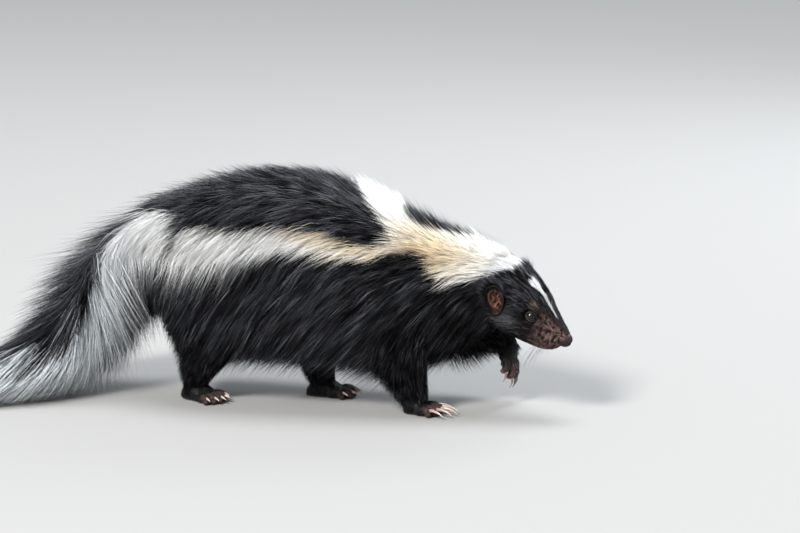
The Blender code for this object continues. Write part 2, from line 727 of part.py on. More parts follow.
def beyond_ankle(joints, gap):
    """A block that holds whatever lies past the place where a leg is parted from its foot."""
    last = Vector(joints[-1][:3])
    out = (last - Vector(joints[-2][:3])).normalized()
    turn = out.to_track_quat("Z", "Y").to_matrix().to_4x4()
    frame = Matrix.Translation(last - out * (ANKLE_HEIGHT - gap)) @ turn
    corners = ((-1, -1), (1, -1), (1, 1), (-1, 1))
    rings = [
        [frame @ Vector((x * ANKLE_REACH, y * ANKLE_REACH, z)) for x, y in corners]
        for z in (0.0, 2 * ANKLE_REACH)
    ]
    return hull_of_rings("ankle", rings)


def make_legs():
    """Four legs with their feet, parted by a flat cut at each ankle and wrist."""
    made = []
    for leg_name, foot_name, joints, size, heading, pitch, curl, inner in LEGS:
        leg = rounded_limb(leg_name, leg_form(joints), LIMB_RINGS, LIMB_SIDES)
        foot = make_foot(foot_name, joints, size, heading, pitch, curl, inner)
        made.append(combine(leg, [beyond_ankle(joints, 0.0)], "DIFFERENCE"))
        made.append(combine(foot, [beyond_ankle(joints, GAP)], "INTERSECT"))
    return made


# Lengths of the spine: name, end, sections and sides of the core, its share of the coat, first row of
# locks after the start, distance between rows, rows, lock, angle from the top beyond which none grows,
# fall of the locks towards the belly
SPINE_NODES = (
    ("neck", NECK_END, 5, 18, CORE_SHARE, 0.004, 0.024, 2, NECK_LOCK, 3.2, 0.45),
    ("torso", TRUNK_END, 16, 20, CORE_SHARE, 0.004, 0.034, 8, TRUNK_LOCK, 2.7, 0.62),
    ("tail_base", TAIL_PARTS[0], 5, 10, TAIL_SHARE, 0.004, 0.027, 3, TAIL_LOCK, 3.2, 0.12),
    ("tail_middle", TAIL_PARTS[1], 5, 10, TAIL_SHARE, 0.004, 0.025, 3, TAIL_LOCK, 3.2, 0.10),
    ("tail_tip", TAIL_CORE_END, 5, 8, TAIL_SHARE, 0.004, 0.034, 3, TIP_LOCK, 3.2, 0.10),
)


def spine_pieces(spine, number):
    """The core of one length of the spine, and its locks."""
    start = SPINE_NODES[number - 1][1] if number > 0 else 0.0
    name, end, rings, sides, share, first, step, rows, size, bare, fall = SPINE_NODES[number]
    core = core_of(name, spine, start, end, share, rings, sides)
    starts = [start + first + step * n for n in range(rows)]
    return core, grow_locks(spine, starts, size, share, bare, fall, random.Random(number))


def make_spine_nodes(spine):
    """Neck, trunk and the lengths of the tail. Each one is cut clear of the locks that lie over it."""
    nodes = []
    for n, row in enumerate(SPINE_NODES):
        node, locks = spine_pieces(spine, n)
        combine(node, locks, "UNION")
        cutters = []
        if n > 0:
            core, locks = spine_pieces(spine, n - 1)
            cutters += [core] + locks
        if row[0] == "neck":
            cutters += [make_head_shell(), ear_outside(1), ear_outside(-1)]
        if row[0] in ("neck", "torso"):
            cutters += [rounded_limb("leg", leg_form(leg[2]), LIMB_RINGS, LIMB_SIDES) for leg in LEGS]
        nodes.append(combine(node, [swollen(cutter) for cutter in cutters], "DIFFERENCE"))
    return nodes


def centre_on_floor(objects):
    """Moves the animal so that its origin is the middle of its bounding box, on the floor."""
    corners = np.array([v.co for obj in objects for v in obj.data.vertices])
    low, high = corners.min(0), corners.max(0)
    shift = Matrix.Translation((-(low[0] + high[0]) / 2, -(low[1] + high[1]) / 2, -low[2]))
    for obj in objects:
        obj.data.transform(shift)


def finish(obj, look):
    obj.data.materials.clear()
    obj.data.materials.append(look)
    obj.data.shade_smooth()
    obj.data.set_sharp_from_angle(angle=math.radians(50))


def main():
    clear_scene()
    spine = Form(SPINE, (0, 0, 1), SPINE_EASE)
    black = material("black_fur", BLACK_FUR, 0.6)
    white = material("white_fur", WHITE_FUR, 0.7)
    skin = material("bare_skin", BARE_SKIN, 0.5)
    glossy = material("eye", EYE_COLOUR, 0.05)

    nodes = make_spine_nodes(spine)
    nodes += [make_head(), make_nose()]
    nodes += [make_ear(1, "ear_right"), make_ear(-1, "ear_left")]
    for side, name in ((1, "eye_right"), (-1, "eye_left")):
        nodes.append(eyeball(name, side))
    nodes += make_legs()
    centre_on_floor(nodes)
    for node in nodes:
        look = black
        if node.name.startswith("eye"):
            look = glossy
        elif node.name == "nose":
            look = skin
        elif node.name in ("neck", "tail_middle", "tail_tip"):
            look = white
        finish(node, look)


main()
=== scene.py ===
"""The looks of a life-size striped skunk in its walking pose, with its floor and light.

Every place on the trunk and tail is read from one axis, the spine, as a distance along it, an angle
round it (0 on top, positive to the animal's left) and a share of the coat's depth, from 0 on the
flesh to 1 at the tips. The head has its own axis, read back from the nose tip, and its angles are
positive to the animal's right. Metres, +Z up, nose towards +X.
"""

import json
import math

import bmesh
import bpy
import numpy as np
from mathutils import Matrix, Vector
from mathutils.kdtree import KDTree

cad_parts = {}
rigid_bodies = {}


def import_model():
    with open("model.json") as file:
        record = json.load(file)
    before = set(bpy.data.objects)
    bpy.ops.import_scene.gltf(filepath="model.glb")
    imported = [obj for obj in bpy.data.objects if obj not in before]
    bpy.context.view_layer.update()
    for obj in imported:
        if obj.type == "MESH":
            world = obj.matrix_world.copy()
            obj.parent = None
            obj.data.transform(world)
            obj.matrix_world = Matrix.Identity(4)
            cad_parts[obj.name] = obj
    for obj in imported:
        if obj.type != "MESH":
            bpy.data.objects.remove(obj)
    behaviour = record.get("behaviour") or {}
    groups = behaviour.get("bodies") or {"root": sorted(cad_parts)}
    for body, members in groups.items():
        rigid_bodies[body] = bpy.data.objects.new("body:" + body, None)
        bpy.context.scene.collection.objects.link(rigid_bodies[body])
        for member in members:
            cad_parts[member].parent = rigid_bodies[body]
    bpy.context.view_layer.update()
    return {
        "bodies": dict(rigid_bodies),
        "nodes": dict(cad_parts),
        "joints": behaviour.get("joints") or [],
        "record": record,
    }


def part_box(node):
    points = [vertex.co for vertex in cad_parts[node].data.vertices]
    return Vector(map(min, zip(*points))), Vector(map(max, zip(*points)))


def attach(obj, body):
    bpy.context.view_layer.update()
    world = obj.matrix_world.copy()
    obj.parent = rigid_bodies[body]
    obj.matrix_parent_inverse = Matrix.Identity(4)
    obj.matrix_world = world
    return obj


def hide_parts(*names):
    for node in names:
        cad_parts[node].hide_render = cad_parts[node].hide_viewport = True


SEED = 41
SIDES = (1, -1)  # the animal's right, then its left
SIGNS = (-1, 1)  # the choices where a side or a tone is drawn at random
DOWN = (0.0, 0.0, -1.0)

# Sections
UPPER_POWER = 2.1
FLESH_POWER = 2.4
COAT_POWER = 3.1
SPINE_EASE = 0.035
LEG_EASE = 0.040
EASE_STEPS = 240
FLOOR_CLEAR = 0.0012
FLOOR_SOFT = 0.006

# Spine stations from the back of the head to the end of the tail's hair:
# x, y, z, half-width, height above the axis, depth below it, then the coat's depth on each
SPINE = (
    (0.176, -0.010, 0.1190, 0.0240, 0.0260, 0.0250, 0.010, 0.010, 0.009),
    (0.152, -0.004, 0.1160, 0.0290, 0.0340, 0.0330, 0.013, 0.014, 0.012),
    (0.126, 0.000, 0.1110, 0.0350, 0.0420, 0.0400, 0.015, 0.018, 0.017),
    (0.098, 0.001, 0.1100, 0.0400, 0.0500, 0.0470, 0.017, 0.020, 0.022),
    (0.065, 0.001, 0.1130, 0.0450, 0.0580, 0.0540, 0.018, 0.020, 0.027),
    (0.025, 0.000, 0.1200, 0.0500, 0.0680, 0.0620, 0.018, 0.019, 0.029),
    (-0.015, 0.000, 0.1260, 0.0540, 0.0720, 0.0670, 0.018, 0.019, 0.029),
    (-0.055, 0.000, 0.1270, 0.0570, 0.0700, 0.0670, 0.018, 0.020, 0.030),
    (-0.095, 0.000, 0.1260, 0.0560, 0.0620, 0.0640, 0.018, 0.021, 0.033),
    (-0.125, 0.000, 0.1270, 0.0490, 0.0500, 0.0580, 0.018, 0.021, 0.036),
    (-0.150, 0.000, 0.1270, 0.0360, 0.0360, 0.0440, 0.019, 0.021, 0.037),
    (-0.172, -0.001, 0.1230, 0.0200, 0.0200, 0.0210, 0.023, 0.022, 0.036),
    (-0.192, -0.005, 0.1110, 0.0110, 0.0110, 0.0110, 0.029, 0.025, 0.040),
    (-0.208, -0.013, 0.0940, 0.0090, 0.0090, 0.0090, 0.034, 0.027, 0.044),
    (-0.221, -0.026, 0.0760, 0.0080, 0.0080, 0.0080, 0.038, 0.029, 0.048),
    (-0.236, -0.046, 0.0570, 0.0070, 0.0070, 0.0070, 0.041, 0.031, 0.048),
    (-0.256, -0.073, 0.0430, 0.0060, 0.0060, 0.0060, 0.042, 0.030, 0.037),
    (-0.281, -0.102, 0.0330, 0.0050, 0.0050, 0.0050, 0.038, 0.026, 0.028),
    (-0.307, -0.128, 0.0260, 0.0035, 0.0035, 0.0035, 0.031, 0.021, 0.021),
    (-0.331, -0.150, 0.0200, 0.0020, 0.0020, 0.0020, 0.021, 0.014, 0.012),
    (-0.352, -0.168, 0.0150, 0.0010, 0.0010, 0.0010, 0.008, 0.006, 0.005),
)
SKIN_SHARE = 0.36  # the skin lies this far into the trunk's coat
TAIL_SKIN_SHARE = 0.22
TAIL_START = 0.33
SKIN_END = 0.60

# The head's own axis
NOSE_TIP = Vector((0.2435, -0.0240, 0.0736))
HEAD_PITCH = math.radians(28)
HEAD_YAW = math.radians(11)
HEAD_ROLL = math.radians(6)
HEAD_CAP = 0.0008  # how far the head's ends are drawn out to a point
CROWN_POWER = 2.7
JAW_POWER = 2.3

# Head stations: distance back from the nose tip, half-width, top, bottom
HEAD = (
    (0.0040, 0.0055, 0.0042, 0.0072),
    (0.0065, 0.0071, 0.0055, 0.0112),
    (0.0100, 0.0089, 0.0072, 0.0156),
    (0.0150, 0.0109, 0.0091, 0.0195),
    (0.0200, 0.0126, 0.0114, 0.0216),
    (0.0260, 0.0146, 0.0147, 0.0229),
    (0.0330, 0.0172, 0.0190, 0.0237),
    (0.0400, 0.0200, 0.0234, 0.0242),
    (0.0480, 0.0228, 0.0272, 0.0245),
    (0.0580, 0.0256, 0.0310, 0.0248),
    (0.0700, 0.0276, 0.0334, 0.0248),
    (0.0820, 0.0276, 0.0330, 0.0243),
    (0.0920, 0.0252, 0.0296, 0.0223),
    (0.0990, 0.0190, 0.0218, 0.0170),
    (0.1020, 0.0085, 0.0104, 0.0076),
)

# Swellings of the head: place along it, place round it, their spreads, and how far they stand out
HEAD_SHAPES = (
    (0.0384, 0.86, 0.0080, 0.22, 0.0013),  # brow
    (0.0374, 1.26, 0.0065, 0.20, -0.0022),  # orbit
    (0.0620, 1.90, 0.0140, 0.40, 0.0018),  # cheek
    (0.0170, 1.95, 0.0100, 0.24, 0.0014),  # upper lip
    (0.0230, 0.55, 0.0080, 0.30, 0.0007),  # side of the bridge
)
EYE_RADIUS = 0.0053
EYE_PLACE = (0.0386, 0.0150, 0.0058)  # back from the nose tip, out to the side, up
EAR_PLACE = (0.0726, 0.0255, 0.0078)
EAR_SIZE = (0.0075, 0.0084, 0.0140)
EAR_OUT = 0.0044
# Folds inside an ear: forward of its middle, up from it, half-thickness, half-height
EAR_FOLDS = (
    (0.0016, -0.0060, 0.0014, 0.0034),
    (-0.0018, 0.0006, 0.0011, 0.0040),
    (0.0034, 0.0026, 0.0010, 0.0032),
    (0.0002, 0.0074, 0.0013, 0.0022),
    (0.0048, -0.0034, 0.0009, 0.0030),
)
NOSE_SIZE = (0.0064, 0.0066, 0.0058)
NOSE_PLACE = (0.0054, 0.0, -0.0023)
NOSE_SWELL = 1.15  # the soft pad stands a little past its solid
NOSE_GROOVE = (0.0005, 0.00045)  # half-width and depth of the groove between the nostrils
LID_LONG, LID_HIGH = 0.0047, 0.0039  # half-lengths of the opening between the lids
LID_HOLE, LID_THICK = 0.0016, 0.0008  # how far the skin lies under the eyeball in it, and over it
# A lid's rim: how far off the eyeball its middle lies, its half-thickness, how much more above
RIM_LIFT, RIM_HALF, RIM_UPPER = 0.0002, 0.00024, 0.00014
# The closed mouth from its middle to a corner: distance back, place round the head
MOUTH = (
    (0.0092, 3.14), (0.0100, 2.62), (0.0140, 2.34),
    (0.0200, 2.22), (0.0270, 2.17), (0.0345, 2.16),
)
MOUTH_WIDTH = 0.0008
MOUTH_DEPTH = 0.0010
LIP, LIP_RISE = (0.0021, 0.0012), 0.0006  # a lip's distance from that line, its spread and height

# Legs: the joints from the root to the ankle or wrist, each with its radius along and across
FORELEG_RIGHT = (
    (0.095, -0.030, 0.104, 0.028, 0.014),
    (0.090, -0.037, 0.078, 0.029, 0.017),
    (0.090, -0.040, 0.055, 0.026, 0.016),
    (0.094, -0.039, 0.036, 0.020, 0.014),
    (0.099, -0.037, 0.021, 0.0145, 0.0125),
    (0.102, -0.036, 0.012, 0.0115, 0.0115),
)
FORELEG_LEFT = (
    (0.092, 0.028, 0.104, 0.026, 0.014),
    (0.102, 0.035, 0.083, 0.022, 0.016),
    (0.120, 0.037, 0.069, 0.019, 0.016),
    (0.140, 0.035, 0.064, 0.0150, 0.014),
    (0.157, 0.033, 0.064, 0.0120, 0.012),
    (0.169, 0.031, 0.060, 0.0108, 0.0115),
    (0.174, 0.030, 0.051, 0.0098, 0.0110),
)
HINDLEG_RIGHT = (
    (-0.100, -0.026, 0.110, 0.034, 0.022),
    (-0.093, -0.034, 0.084, 0.035, 0.021),
    (-0.092, -0.040, 0.060, 0.030, 0.0185),
    (-0.101, -0.040, 0.039, 0.0195, 0.0150),
    (-0.108, -0.039, 0.022, 0.0128, 0.0122),
    (-0.109, -0.038, 0.012, 0.0106, 0.0112),
)
HINDLEG_LEFT = (
    (-0.078, 0.026, 0.110, 0.034, 0.022),
    (-0.046, 0.028, 0.084, 0.030, 0.020),
    (-0.016, 0.024, 0.062, 0.0250, 0.0180),
    (-0.005, 0.018, 0.042, 0.0195, 0.0155),
    (-0.004, 0.013, 0.026, 0.0140, 0.0130),
    (-0.001, 0.011, 0.014, 0.0110, 0.0120),
)
LIMB_CAP = 0.006  # how far a limb's ends are drawn out to a point
BODY_VOXEL, FOOT_VOXEL = 0.0020, 0.0006  # fineness of the fused skins
COAT_REACH = 0.015  # skin this near to a place in the coat takes the colour of its marking
LEG_INSET = 0.90  # the skin's radius against the leg's with its short fur

# Feet: sole length, width, height at the ankle, toe length, claw length
FOREFOOT = (0.021, 0.0255, 0.021, 0.0110, 0.0180)
RAISED_FOOT = (0.021, 0.0255, 0.021, 0.0110, 0.0130)
HINDFOOT = (0.031, 0.0255, 0.021, 0.0105, 0.0095)
TOES = 5
TOE_RADIUS = 0.0044
TOE_SPREAD = 0.30
BALL = 0.62
# A foot from behind its ankle to its toes: share of the sole's length, of the width and of the height
FOOT_PROFILE = (
    (-0.50, 0.30, 0.34),
    (-0.30, 0.74, 0.72),
    (0.05, 0.90, 0.84),
    (0.40, 1.00, 0.58),
    (0.66, 0.86, 0.36),
)
# Leg name, foot name, joints, foot size, heading, pitch, curl of the toes, side of the first toe
LEGS = (
    ("foreleg_right", "forefoot_right", FORELEG_RIGHT, FOREFOOT, -0.10, 0.0, 0.0, 1),
    ("foreleg_left", "forefoot_left", FORELEG_LEFT, RAISED_FOOT, -0.05, 1.05, 0.35, -1),
    ("hindleg_right", "hindfoot_right", HINDLEG_RIGHT, HINDFOOT, -0.38, 0.0, 0.0, 1),
    ("hindleg_left", "hindfoot_left", HINDLEG_LEFT, HINDFOOT, 0.05, 0.0, 0.0, -1),
)

# Outlines of the white markings on the trunk and tail: distance along the spine, angle in degrees
NEAR_STRIPE = (
    (-0.030, 45), (0.000, 30), (0.015, 14), (0.030, -4), (0.050, -16), (0.070, -20), (0.088, -18),
    (0.100, -8), (0.106, -28), (0.106, -44), (0.114, -55), (0.130, -60), (0.146, -61), (0.170, -60),
    (0.200, -62),
    (0.230, -65), (0.260, -62), (0.290, -60), (0.300, -64), (0.302, -78), (0.309, -80), (0.308, -60),
    (0.306, -48), (0.316, -38), (0.332, -30), (0.348, -25), (0.362, -28), (0.376, -36), (0.392, -46),
    (0.415, -54), (0.440, -62), (0.460, -74), (0.478, -92), (0.490, -115), (0.496, -140), (0.480, -150),
    (0.462, -140), (0.450, -128), (0.436, -108), (0.420, -96), (0.400, -92), (0.380, -91), (0.360, -91),
    (0.340, -89), (0.324, -89), (0.310, -89), (0.292, -89), (0.270, -88), (0.250, -85), (0.230, -82),
    (0.206, -78), (0.184, -75), (0.160, -74), (0.142, -73), (0.124, -70), (0.116, -66), (0.110, -62),
    (0.100, -58), (0.090, -54), (0.080, -51), (0.070, -51), (0.060, -57), (0.053, -68), (0.045, -78),
    (0.030, -82), (0.015, -78), (0.000, -68), (-0.030, -58),
)
# The far stripe mirrors these points of the near one and takes its own way over the shoulders
MIRRORED = slice(15, 52)
FAR_STRIPE = (
    (0.100, -4), (0.110, 14), (0.122, 40), (0.140, 66), (0.160, 74),
    *((along, -angle) for along, angle in NEAR_STRIPE[MIRRORED][::-1]),
    (0.198, 58), (0.176, 36), (0.162, 16), (0.148, -6), (0.134, -22), (0.118, -32), (0.106, -38),
    (0.104, -50),
)
# How much of the tail's hair beyond those outlines is white: distance along, share
TAIL_MIX = ((0.385, 0.0), (0.415, 0.30), (0.450, 0.40), (0.490, 0.54), (0.600, 0.66))
TAIL_TOP = (12, 34)  # degrees from the top over which that hair turns from black to mixed
# Front edge of the white crown: angle round the head in degrees, distance back from the nose tip
CROWN_EDGE = ((-80, 0.104), (-60, 0.096), (-40, 0.088), (-20, 0.080), (0, 0.0765), (15, 0.077), (25, 0.080),
              (33, 0.084), (40, 0.088), (50, 0.093), (60, 0.100), (70, 0.104))
# The stripe down the face: distance back, middle and half-width across the head
FACE_STRIPE = ((0.0205, 0.0000, 0.0005), (0.0240, 0.0000, 0.0012), (0.0300, 0.0002, 0.0017),
               (0.0400, 0.0008, 0.0021), (0.0475, 0.0012, 0.0028), (0.0515, 0.0024, 0.0044),
               (0.0550, 0.0034, 0.0060), (0.0585, 0.0022, 0.0040), (0.0605, 0.0010, 0.0000))

# Colours, linear
BLACK = (0.0010, 0.0010, 0.0012)
# Painted glint: the grey-blue highlight painted into the black fur
BLACK_PAINTED_GLINT = (0.44, 0.455, 0.52)
BROWN_BLACK = (0.014, 0.009, 0.007)
WHITE = (0.93, 0.945, 0.955)
# The tail's white with a painted bluish cast of shade
SHADE_BLUE_WHITE = (0.88, 0.95, 1.0)
CREAM = (0.90, 0.74, 0.47)
TAN = (0.50, 0.29, 0.12)
# White hair's root, greyer than its tip as painted shade deep in the coat
WHITE_ROOT_SHADED = (0.70, 0.68, 0.65)
MUZZLE_HAIR = (0.018, 0.011, 0.010)
MUZZLE_SKIN = (0.118, 0.072, 0.066)
CHIN_SKIN = (0.20, 0.12, 0.085)
FACE_SKIN = (0.0028, 0.0022, 0.0022)
LID_SKIN = (0.010, 0.008, 0.008)
LID_EDGE = (0.050, 0.036, 0.034)
MOUTH_LINE = (0.012, 0.008, 0.008)
CHEEK_GLINT_HAIR = (0.150, 0.150, 0.160)
SPOT_HAIR = (0.24, 0.175, 0.155)
WHISKER_HAIR = (0.07, 0.06, 0.06)
PUPIL = (0.0010, 0.0014, 0.0026)
IRIS = (0.0034, 0.0026, 0.0026)
NOSE_LOW = (0.010, 0.006, 0.007)
NOSE_TOP_SHEEN = (0.026, 0.016, 0.018)
NOSTRIL_SKIN = (0.004, 0.002, 0.002)
EAR_SKIN = (0.140, 0.062, 0.040)
# Inside the ear: painted shade in its hollows, then a painted shadow towards its back
EAR_HOLLOW_SHADE = (0.022, 0.009, 0.006)
EAR_REAR_SHADOW = (0.014, 0.008, 0.007)
EAR_DOWN = (0.26, 0.14, 0.09)
TOE_SKIN = (0.034, 0.019, 0.017)
PAD_SKIN = (0.075, 0.036, 0.033)
CLAW_ROOT = (0.13, 0.065, 0.058)
CLAW_TIP = (0.37, 0.31, 0.275)
FLOOR_COLOUR = (0.215, 0.213, 0.208, 1)

# Soft patches of colour on the trunk: middle and spread along it, middle and spread of the angle in
# degrees, strength
NAPE_CREAM = (0.060, 0.045, 46, 28, 1.2)
EDGE_CREAM = (0.148, 0.040, 62, 8, 1.1)
NAPE_TAN = (0.074, 0.022, 55, 7, 1.0)
EDGE_TAN = (0.205, 0.060, 62, 2, 0.7)
# And on the head, back from the nose tip and with the angle in radians
PALE_CHIN = (0.024, 0.010, 2.75, 0.35, 0.5)
EYE_SPOT = (0.0376, 0.0030, 0.80, 0.14, 1.0)
# a painted glint of paler grey hair on the cheek's ridge
CHEEK_GLINT_PATCH = (0.052, 0.0080, 1.76, 0.26, 1.0)

# Painted glints, grey-blue highlights painted into the black fur's colour: the least of it, its power, its
# range and how often and far a hair is brown
GLINT_LEAST = 0.003
GLINT_POWER = 3.8
GLINT_RANGE = (0.40, 1.0)
BROWN_CHANCE, BROWN_SHARE = 0.10, 0.6

# Blotches of the muzzle: how many, where they lie back from the nose tip and round the head, their
# sizes, and the head's radius at both ends of their range
BLOTCHES = 900
BLOTCH_BACK = (0.006, 0.044)
BLOTCH_TURN = (0.4, 3.0)
BLOTCH_SIZE = (0.0004, 0.0012)
BLOTCH_RADIUS = (0.007, 0.022)

# Materials: name, roughness, specular and other inputs of the shader, then the scale, detail and contrast
# of the noise in the colour, the depth of its relief and its stretch
EVEN = (1, 1, 1)
MATERIALS = {
    "black": (
        "fur_black", (0.45, 0.02, {"Sheen Weight": 0.0, "Sheen Roughness": 0.5}), 900.0, 4.0, 0.35, 0.0, EVEN,
    ),
    "white": (
        "fur_white", (0.42, 0.45, {"Sheen Weight": 0.3, "Sheen Roughness": 0.5}), 900.0, 4.0, 0.35, 0.0, EVEN,
    ),
    "skin": ("skin_under_fur", (0.80, 0.05, {}), 700.0, 6.0, 0.55, 0.0008, EVEN),
    "face": ("skin_face", (0.60, 0.08, {}), 900.0, 6.0, 0.55, 0.0004, EVEN),
    "toe": ("skin_toe", (0.50, 0.20, {}), 800.0, 6.0, 0.55, 0.0006, EVEN),
    "ear": ("skin_ear", (0.75, 0.12, {}), 600.0, 6.0, 0.55, 0.0006, EVEN),
    "claw": (
        "claw_horn",
        (0.30, 0.50, {"Subsurface Weight": 0.15, "Subsurface Radius": (0.002, 0.001, 0.0006)}),
        260.0, 4.0, 0.6, 0.0002, (1, 1, 3),
    ),
    "eye": ("eye_gloss", (0.22, 0.34, {}), 2500.0, 4.0, 0.3, 0.0, EVEN),
}

# The coat of the trunk and tail: distance along, strand length, half-width, strands for each mm2
COAT = (
    (-0.010, 0.015, 0.00025, 0.80),
    (0.030, 0.021, 0.00027, 0.66),
    (0.070, 0.026, 0.00028, 0.56),
    (0.150, 0.028, 0.00029, 0.50),
    (0.300, 0.031, 0.00030, 0.48),
    (0.340, 0.045, 0.00034, 0.44),
    (0.400, 0.068, 0.00036, 0.46),
    (0.500, 0.078, 0.00036, 0.46),
    (0.590, 0.062, 0.00034, 0.48),
)
TO_M2 = 1e6  # a number for each mm2, as one for each m2
TRUNK_SPAN, TAIL_SPAN = (-0.010, 0.325), (0.325, 0.590)
TRUNK_STEPS, TAIL_STEPS = (0.0, 0.5, 1.0), (0.0, 0.42, 1.0)  # where a strand bends
# Distance along the spine, then a value there
TAIL_FULLER = ((0.33, 0.0), (0.37, 1.0), (0.50, 1.0), (0.55, 0.0))
FALL = (
    (0.0, 0.30), (0.06, 0.50), (0.12, 0.80), (0.18, 1.02),
    (0.28, 1.10), (0.34, 0.80), (0.45, 0.50), (0.60, 0.25),
)
TAIL_SAG = ((0.50, 1.0), (0.60, 0.3))
# How strongly the black fur's painted glints show along the neck
NECK_GLINT = ((0.0, 0.80), (0.06, 0.84), (0.14, 1.0))
# Where the tail's ways set in: distance along the spine, and the length over which they do
TAIL_ONSET, COOL_ONSET = (0.32, 0.08), (0.32, 0.10)
MIX_ONSET, FLAT_ONSET = (0.36, 0.10), (0.40, 0.06)
CHEST, RUMP = (0.060, 0.045), (0.362, 0.045)  # middles and spreads of the longer and the raised hair
# Ranges of chance: a strand's length and half-width against the table's, the share of the coat's depth
# that its tip reaches if it is on top, below or a stray, and how far it gathers into its wisp and lock
LENGTH_RANGE, HALF_RANGE = (0.70, 1.18), (0.70, 1.25)
TOP_LIFT, LOW_LIFT, STRAY_LIFT = (0.84, 1.08), (0.50, 0.9), (1.08, 1.42)
TOP_CHANCE, STRAY_CHANCE = 0.60, 0.11
WISP_PULL, LOCK_PULL = (0.68, 0.98), (0.05, 0.25)
# Length and width of the small locks that strands gather into, of the larger ones that those gather
# into, and of the streams of black and white that run down the tail
WISP, LOCK, STREAM = (0.0090, 0.0014), (0.0140, 0.0065), (0.0600, 0.0130)
STREAM_SLANT = 9.0  # radians that a stream turns downwards in a metre
CREST = 0.2160  # height from which the longest hairs of the back lean over
CREST_KEPT = 0.30
BACK_SHORTER, CHEST_LONGER = 0.15, 0.55  # shares by which the hair differs there
LOCK_SLOPE, OWN_SLOPE = 0.34, 0.05  # how much the fall differs between locks and between strands
TAIL_PULL = 0.2  # how much closer the tail's wisps gather
TAIL_RAISED, RUMP_RAISED, END_FLATTENED = 0.10, 0.66, 0.58
SAG_ABOVE, SAG_BELOW, CHEST_SAG = 0.06, 0.30, 0.50  # shares of a strand's length that its tip sags
GATHER_POWER, LIFT_POWER = 1.2, 0.70  # how late a strand gathers and how early it lifts
END_OVERRUN = 0.012  # how far the last strands reach past the spine's end
ROOT_SHARE, TAIL_ROOT_LOWER = 0.26, 0.10
# White and black on the tail: the parts that a strand, its wisp and its lock have in its chance, the
# part of the streams, and the share of black in the white bands at their start and how much it grows
MIX_PARTS, STREAM_PART, BAND_BLACK = (0.20, 0.35, 0.45), 0.42, (0.12, 0.24)
SEEN_SPREAD = (0.0020, 0.025)  # how ragged the markings' edges are along and round the spine
WHITE_RANGE = (0.86, 1.0)  # brightness of white strands, then how much darker the duller wisps are painted, as shade between them
WHITE_WISP_SHADE, TAIL_WISP_SHADE, DEEP_POWER = 0.30, 0.14, 1.6
# painted shade on the roots of the tail's white hair
TAIL_ROOT_SHADE = 0.55
LOCK_SHADES = 0.12, 0.14  # how much the locks differ in white fur and in black
WISP_GLINT = 0.78  # the wisp's part in a black strand's painted glint
SEEN_ALONG, SEEN_STEP = 0.55, 0.52  # where on a strand its colour is read
BLACK_ROOT = 0.06  # a black root's brightness against its tip, as painted shade towards the skin without the tip's painted glint

# Strands: a table of their width along them, their corners in degrees, how flat they are, and where
# the last ring's colour is read on the way to the tip
TAPER = ((0, 0.75), (0.45, 1.0), (1.0, 0.62))
STRAND_CORNERS = (90, 210, 330)
STRAND_FLAT = 0.6
LAST_RING = 0.85
PIECE_STRANDS = 12000
PATCH = 0.003  # size of a strand's own patch in the map for baking
SHORT_CLEAR = 0.0008  # height above the floor that short hair keeps
SWELL, SUNK = 0.0007, 0.0003  # how short hair leaves the skin, and how deep it starts

# Hair of the head: distance back from the nose tip, then a value there
HEAD_HAIR = (0.008, 0.1005)
HEAD_DENSITY = ((0.008, 1.0), (0.030, 2.2), (0.050, 2.4), (0.080, 1.5), (0.100, 0.9))
HEAD_HANG = ((0.02, 0.15), (0.05, 0.35), (0.09, 0.45))
HEAD_LENGTH = (
    (0.008, 0.0016), (0.02, 0.0028), (0.035, 0.0045), (0.05, 0.0070), (0.07, 0.0110), (0.10, 0.0170),
)
HEAD_HALF = ((0.01, 0.00014), (0.04, 0.00022), (0.10, 0.00030))
HEAD_RISE = ((0.01, 0.20), (0.05, 0.28), (0.10, 0.38))
HEAD_WHITE = ((0.015, 0.62), (0.055, 0.95))
HEAD_STEPS = (0.0, 0.45, 1.0)
HEAD_RADIUS = 0.022
HEAD_WISP = (0.0060, 0.0011)
HEAD_REARWARD = (-1.0, 0.08, -0.10)
HEAD_RANGES = (0.7, 1.2), (0.8, 1.25), (0.5, 1.4)  # length, half-width and rise against the tables'
HEAD_BRIGHT = (0.50, 0.90)  # brightness of the head's white strands
THROAT_LONGER = 0.35
HEAD_RAGGED = (0.0009, 0.0004)  # how ragged its markings are, back and across
WHITE_BASE, BLACK_BASE = 0.75, 0.15  # brightness of its roots against its tips, darker as painted shade towards the skin
BARE_LIDS = 1.22  # hairless ring round an eye, against the lids' opening
BARE_LIPS = 0.0010
BARE_EAR = (0.0112, 0.0150)  # half-sizes of the hairless place round an ear
BARE_MUZZLE = 0.62  # share of the muzzle's hairs that are left out

# Hair of the legs: share of the leg's length, then a value there
LEG_DENSITY = ((0.3, 0.40), (0.6, 0.76), (1.0, 1.05))
LEG_LOOSE = ((0.5, 1.0), (0.95, 0.35))
LEG_LENGTH = ((0.3, 0.024), (0.65, 0.014), (1.0, 0.006))
LEG_HALF = ((0.3, 0.00032), (1.0, 0.00020))
LEG_WISP = (0.0080, 0.0016)
LEG_RANGES = (0.65, 1.2), (0.8, 1.2)  # length and half-width against the tables'
LEG_RISE = (0.12, 0.42)
LEG_HAIR_START = 0.22  # share of the leg's length above which the trunk's coat covers it
RAISED_LONGER = 0.5  # share by which hair that hangs from the raised leg is longer
SHORT_ROOT = 0.3  # brightness of short black hair's roots against its tips, darker as painted shade towards the skin
LEG_FLOW, RAISED_FLOW = (-0.45, 0.0, -0.25), (-0.20, 0.0, -0.85)

# Whiskers: distance back, place round the head, length, how many
WHISKERS = (
    (0.016, 1.85, 0.024, 8),
    (0.024, 2.25, 0.022, 5),
    (0.050, 1.75, 0.020, 3),
    (0.045, 0.80, 0.015, 3),
    (0.020, 2.70, 0.016, 4),
)
THIN_HALF = 0.00009  # half-width of a whisker and of the hair inside an ear

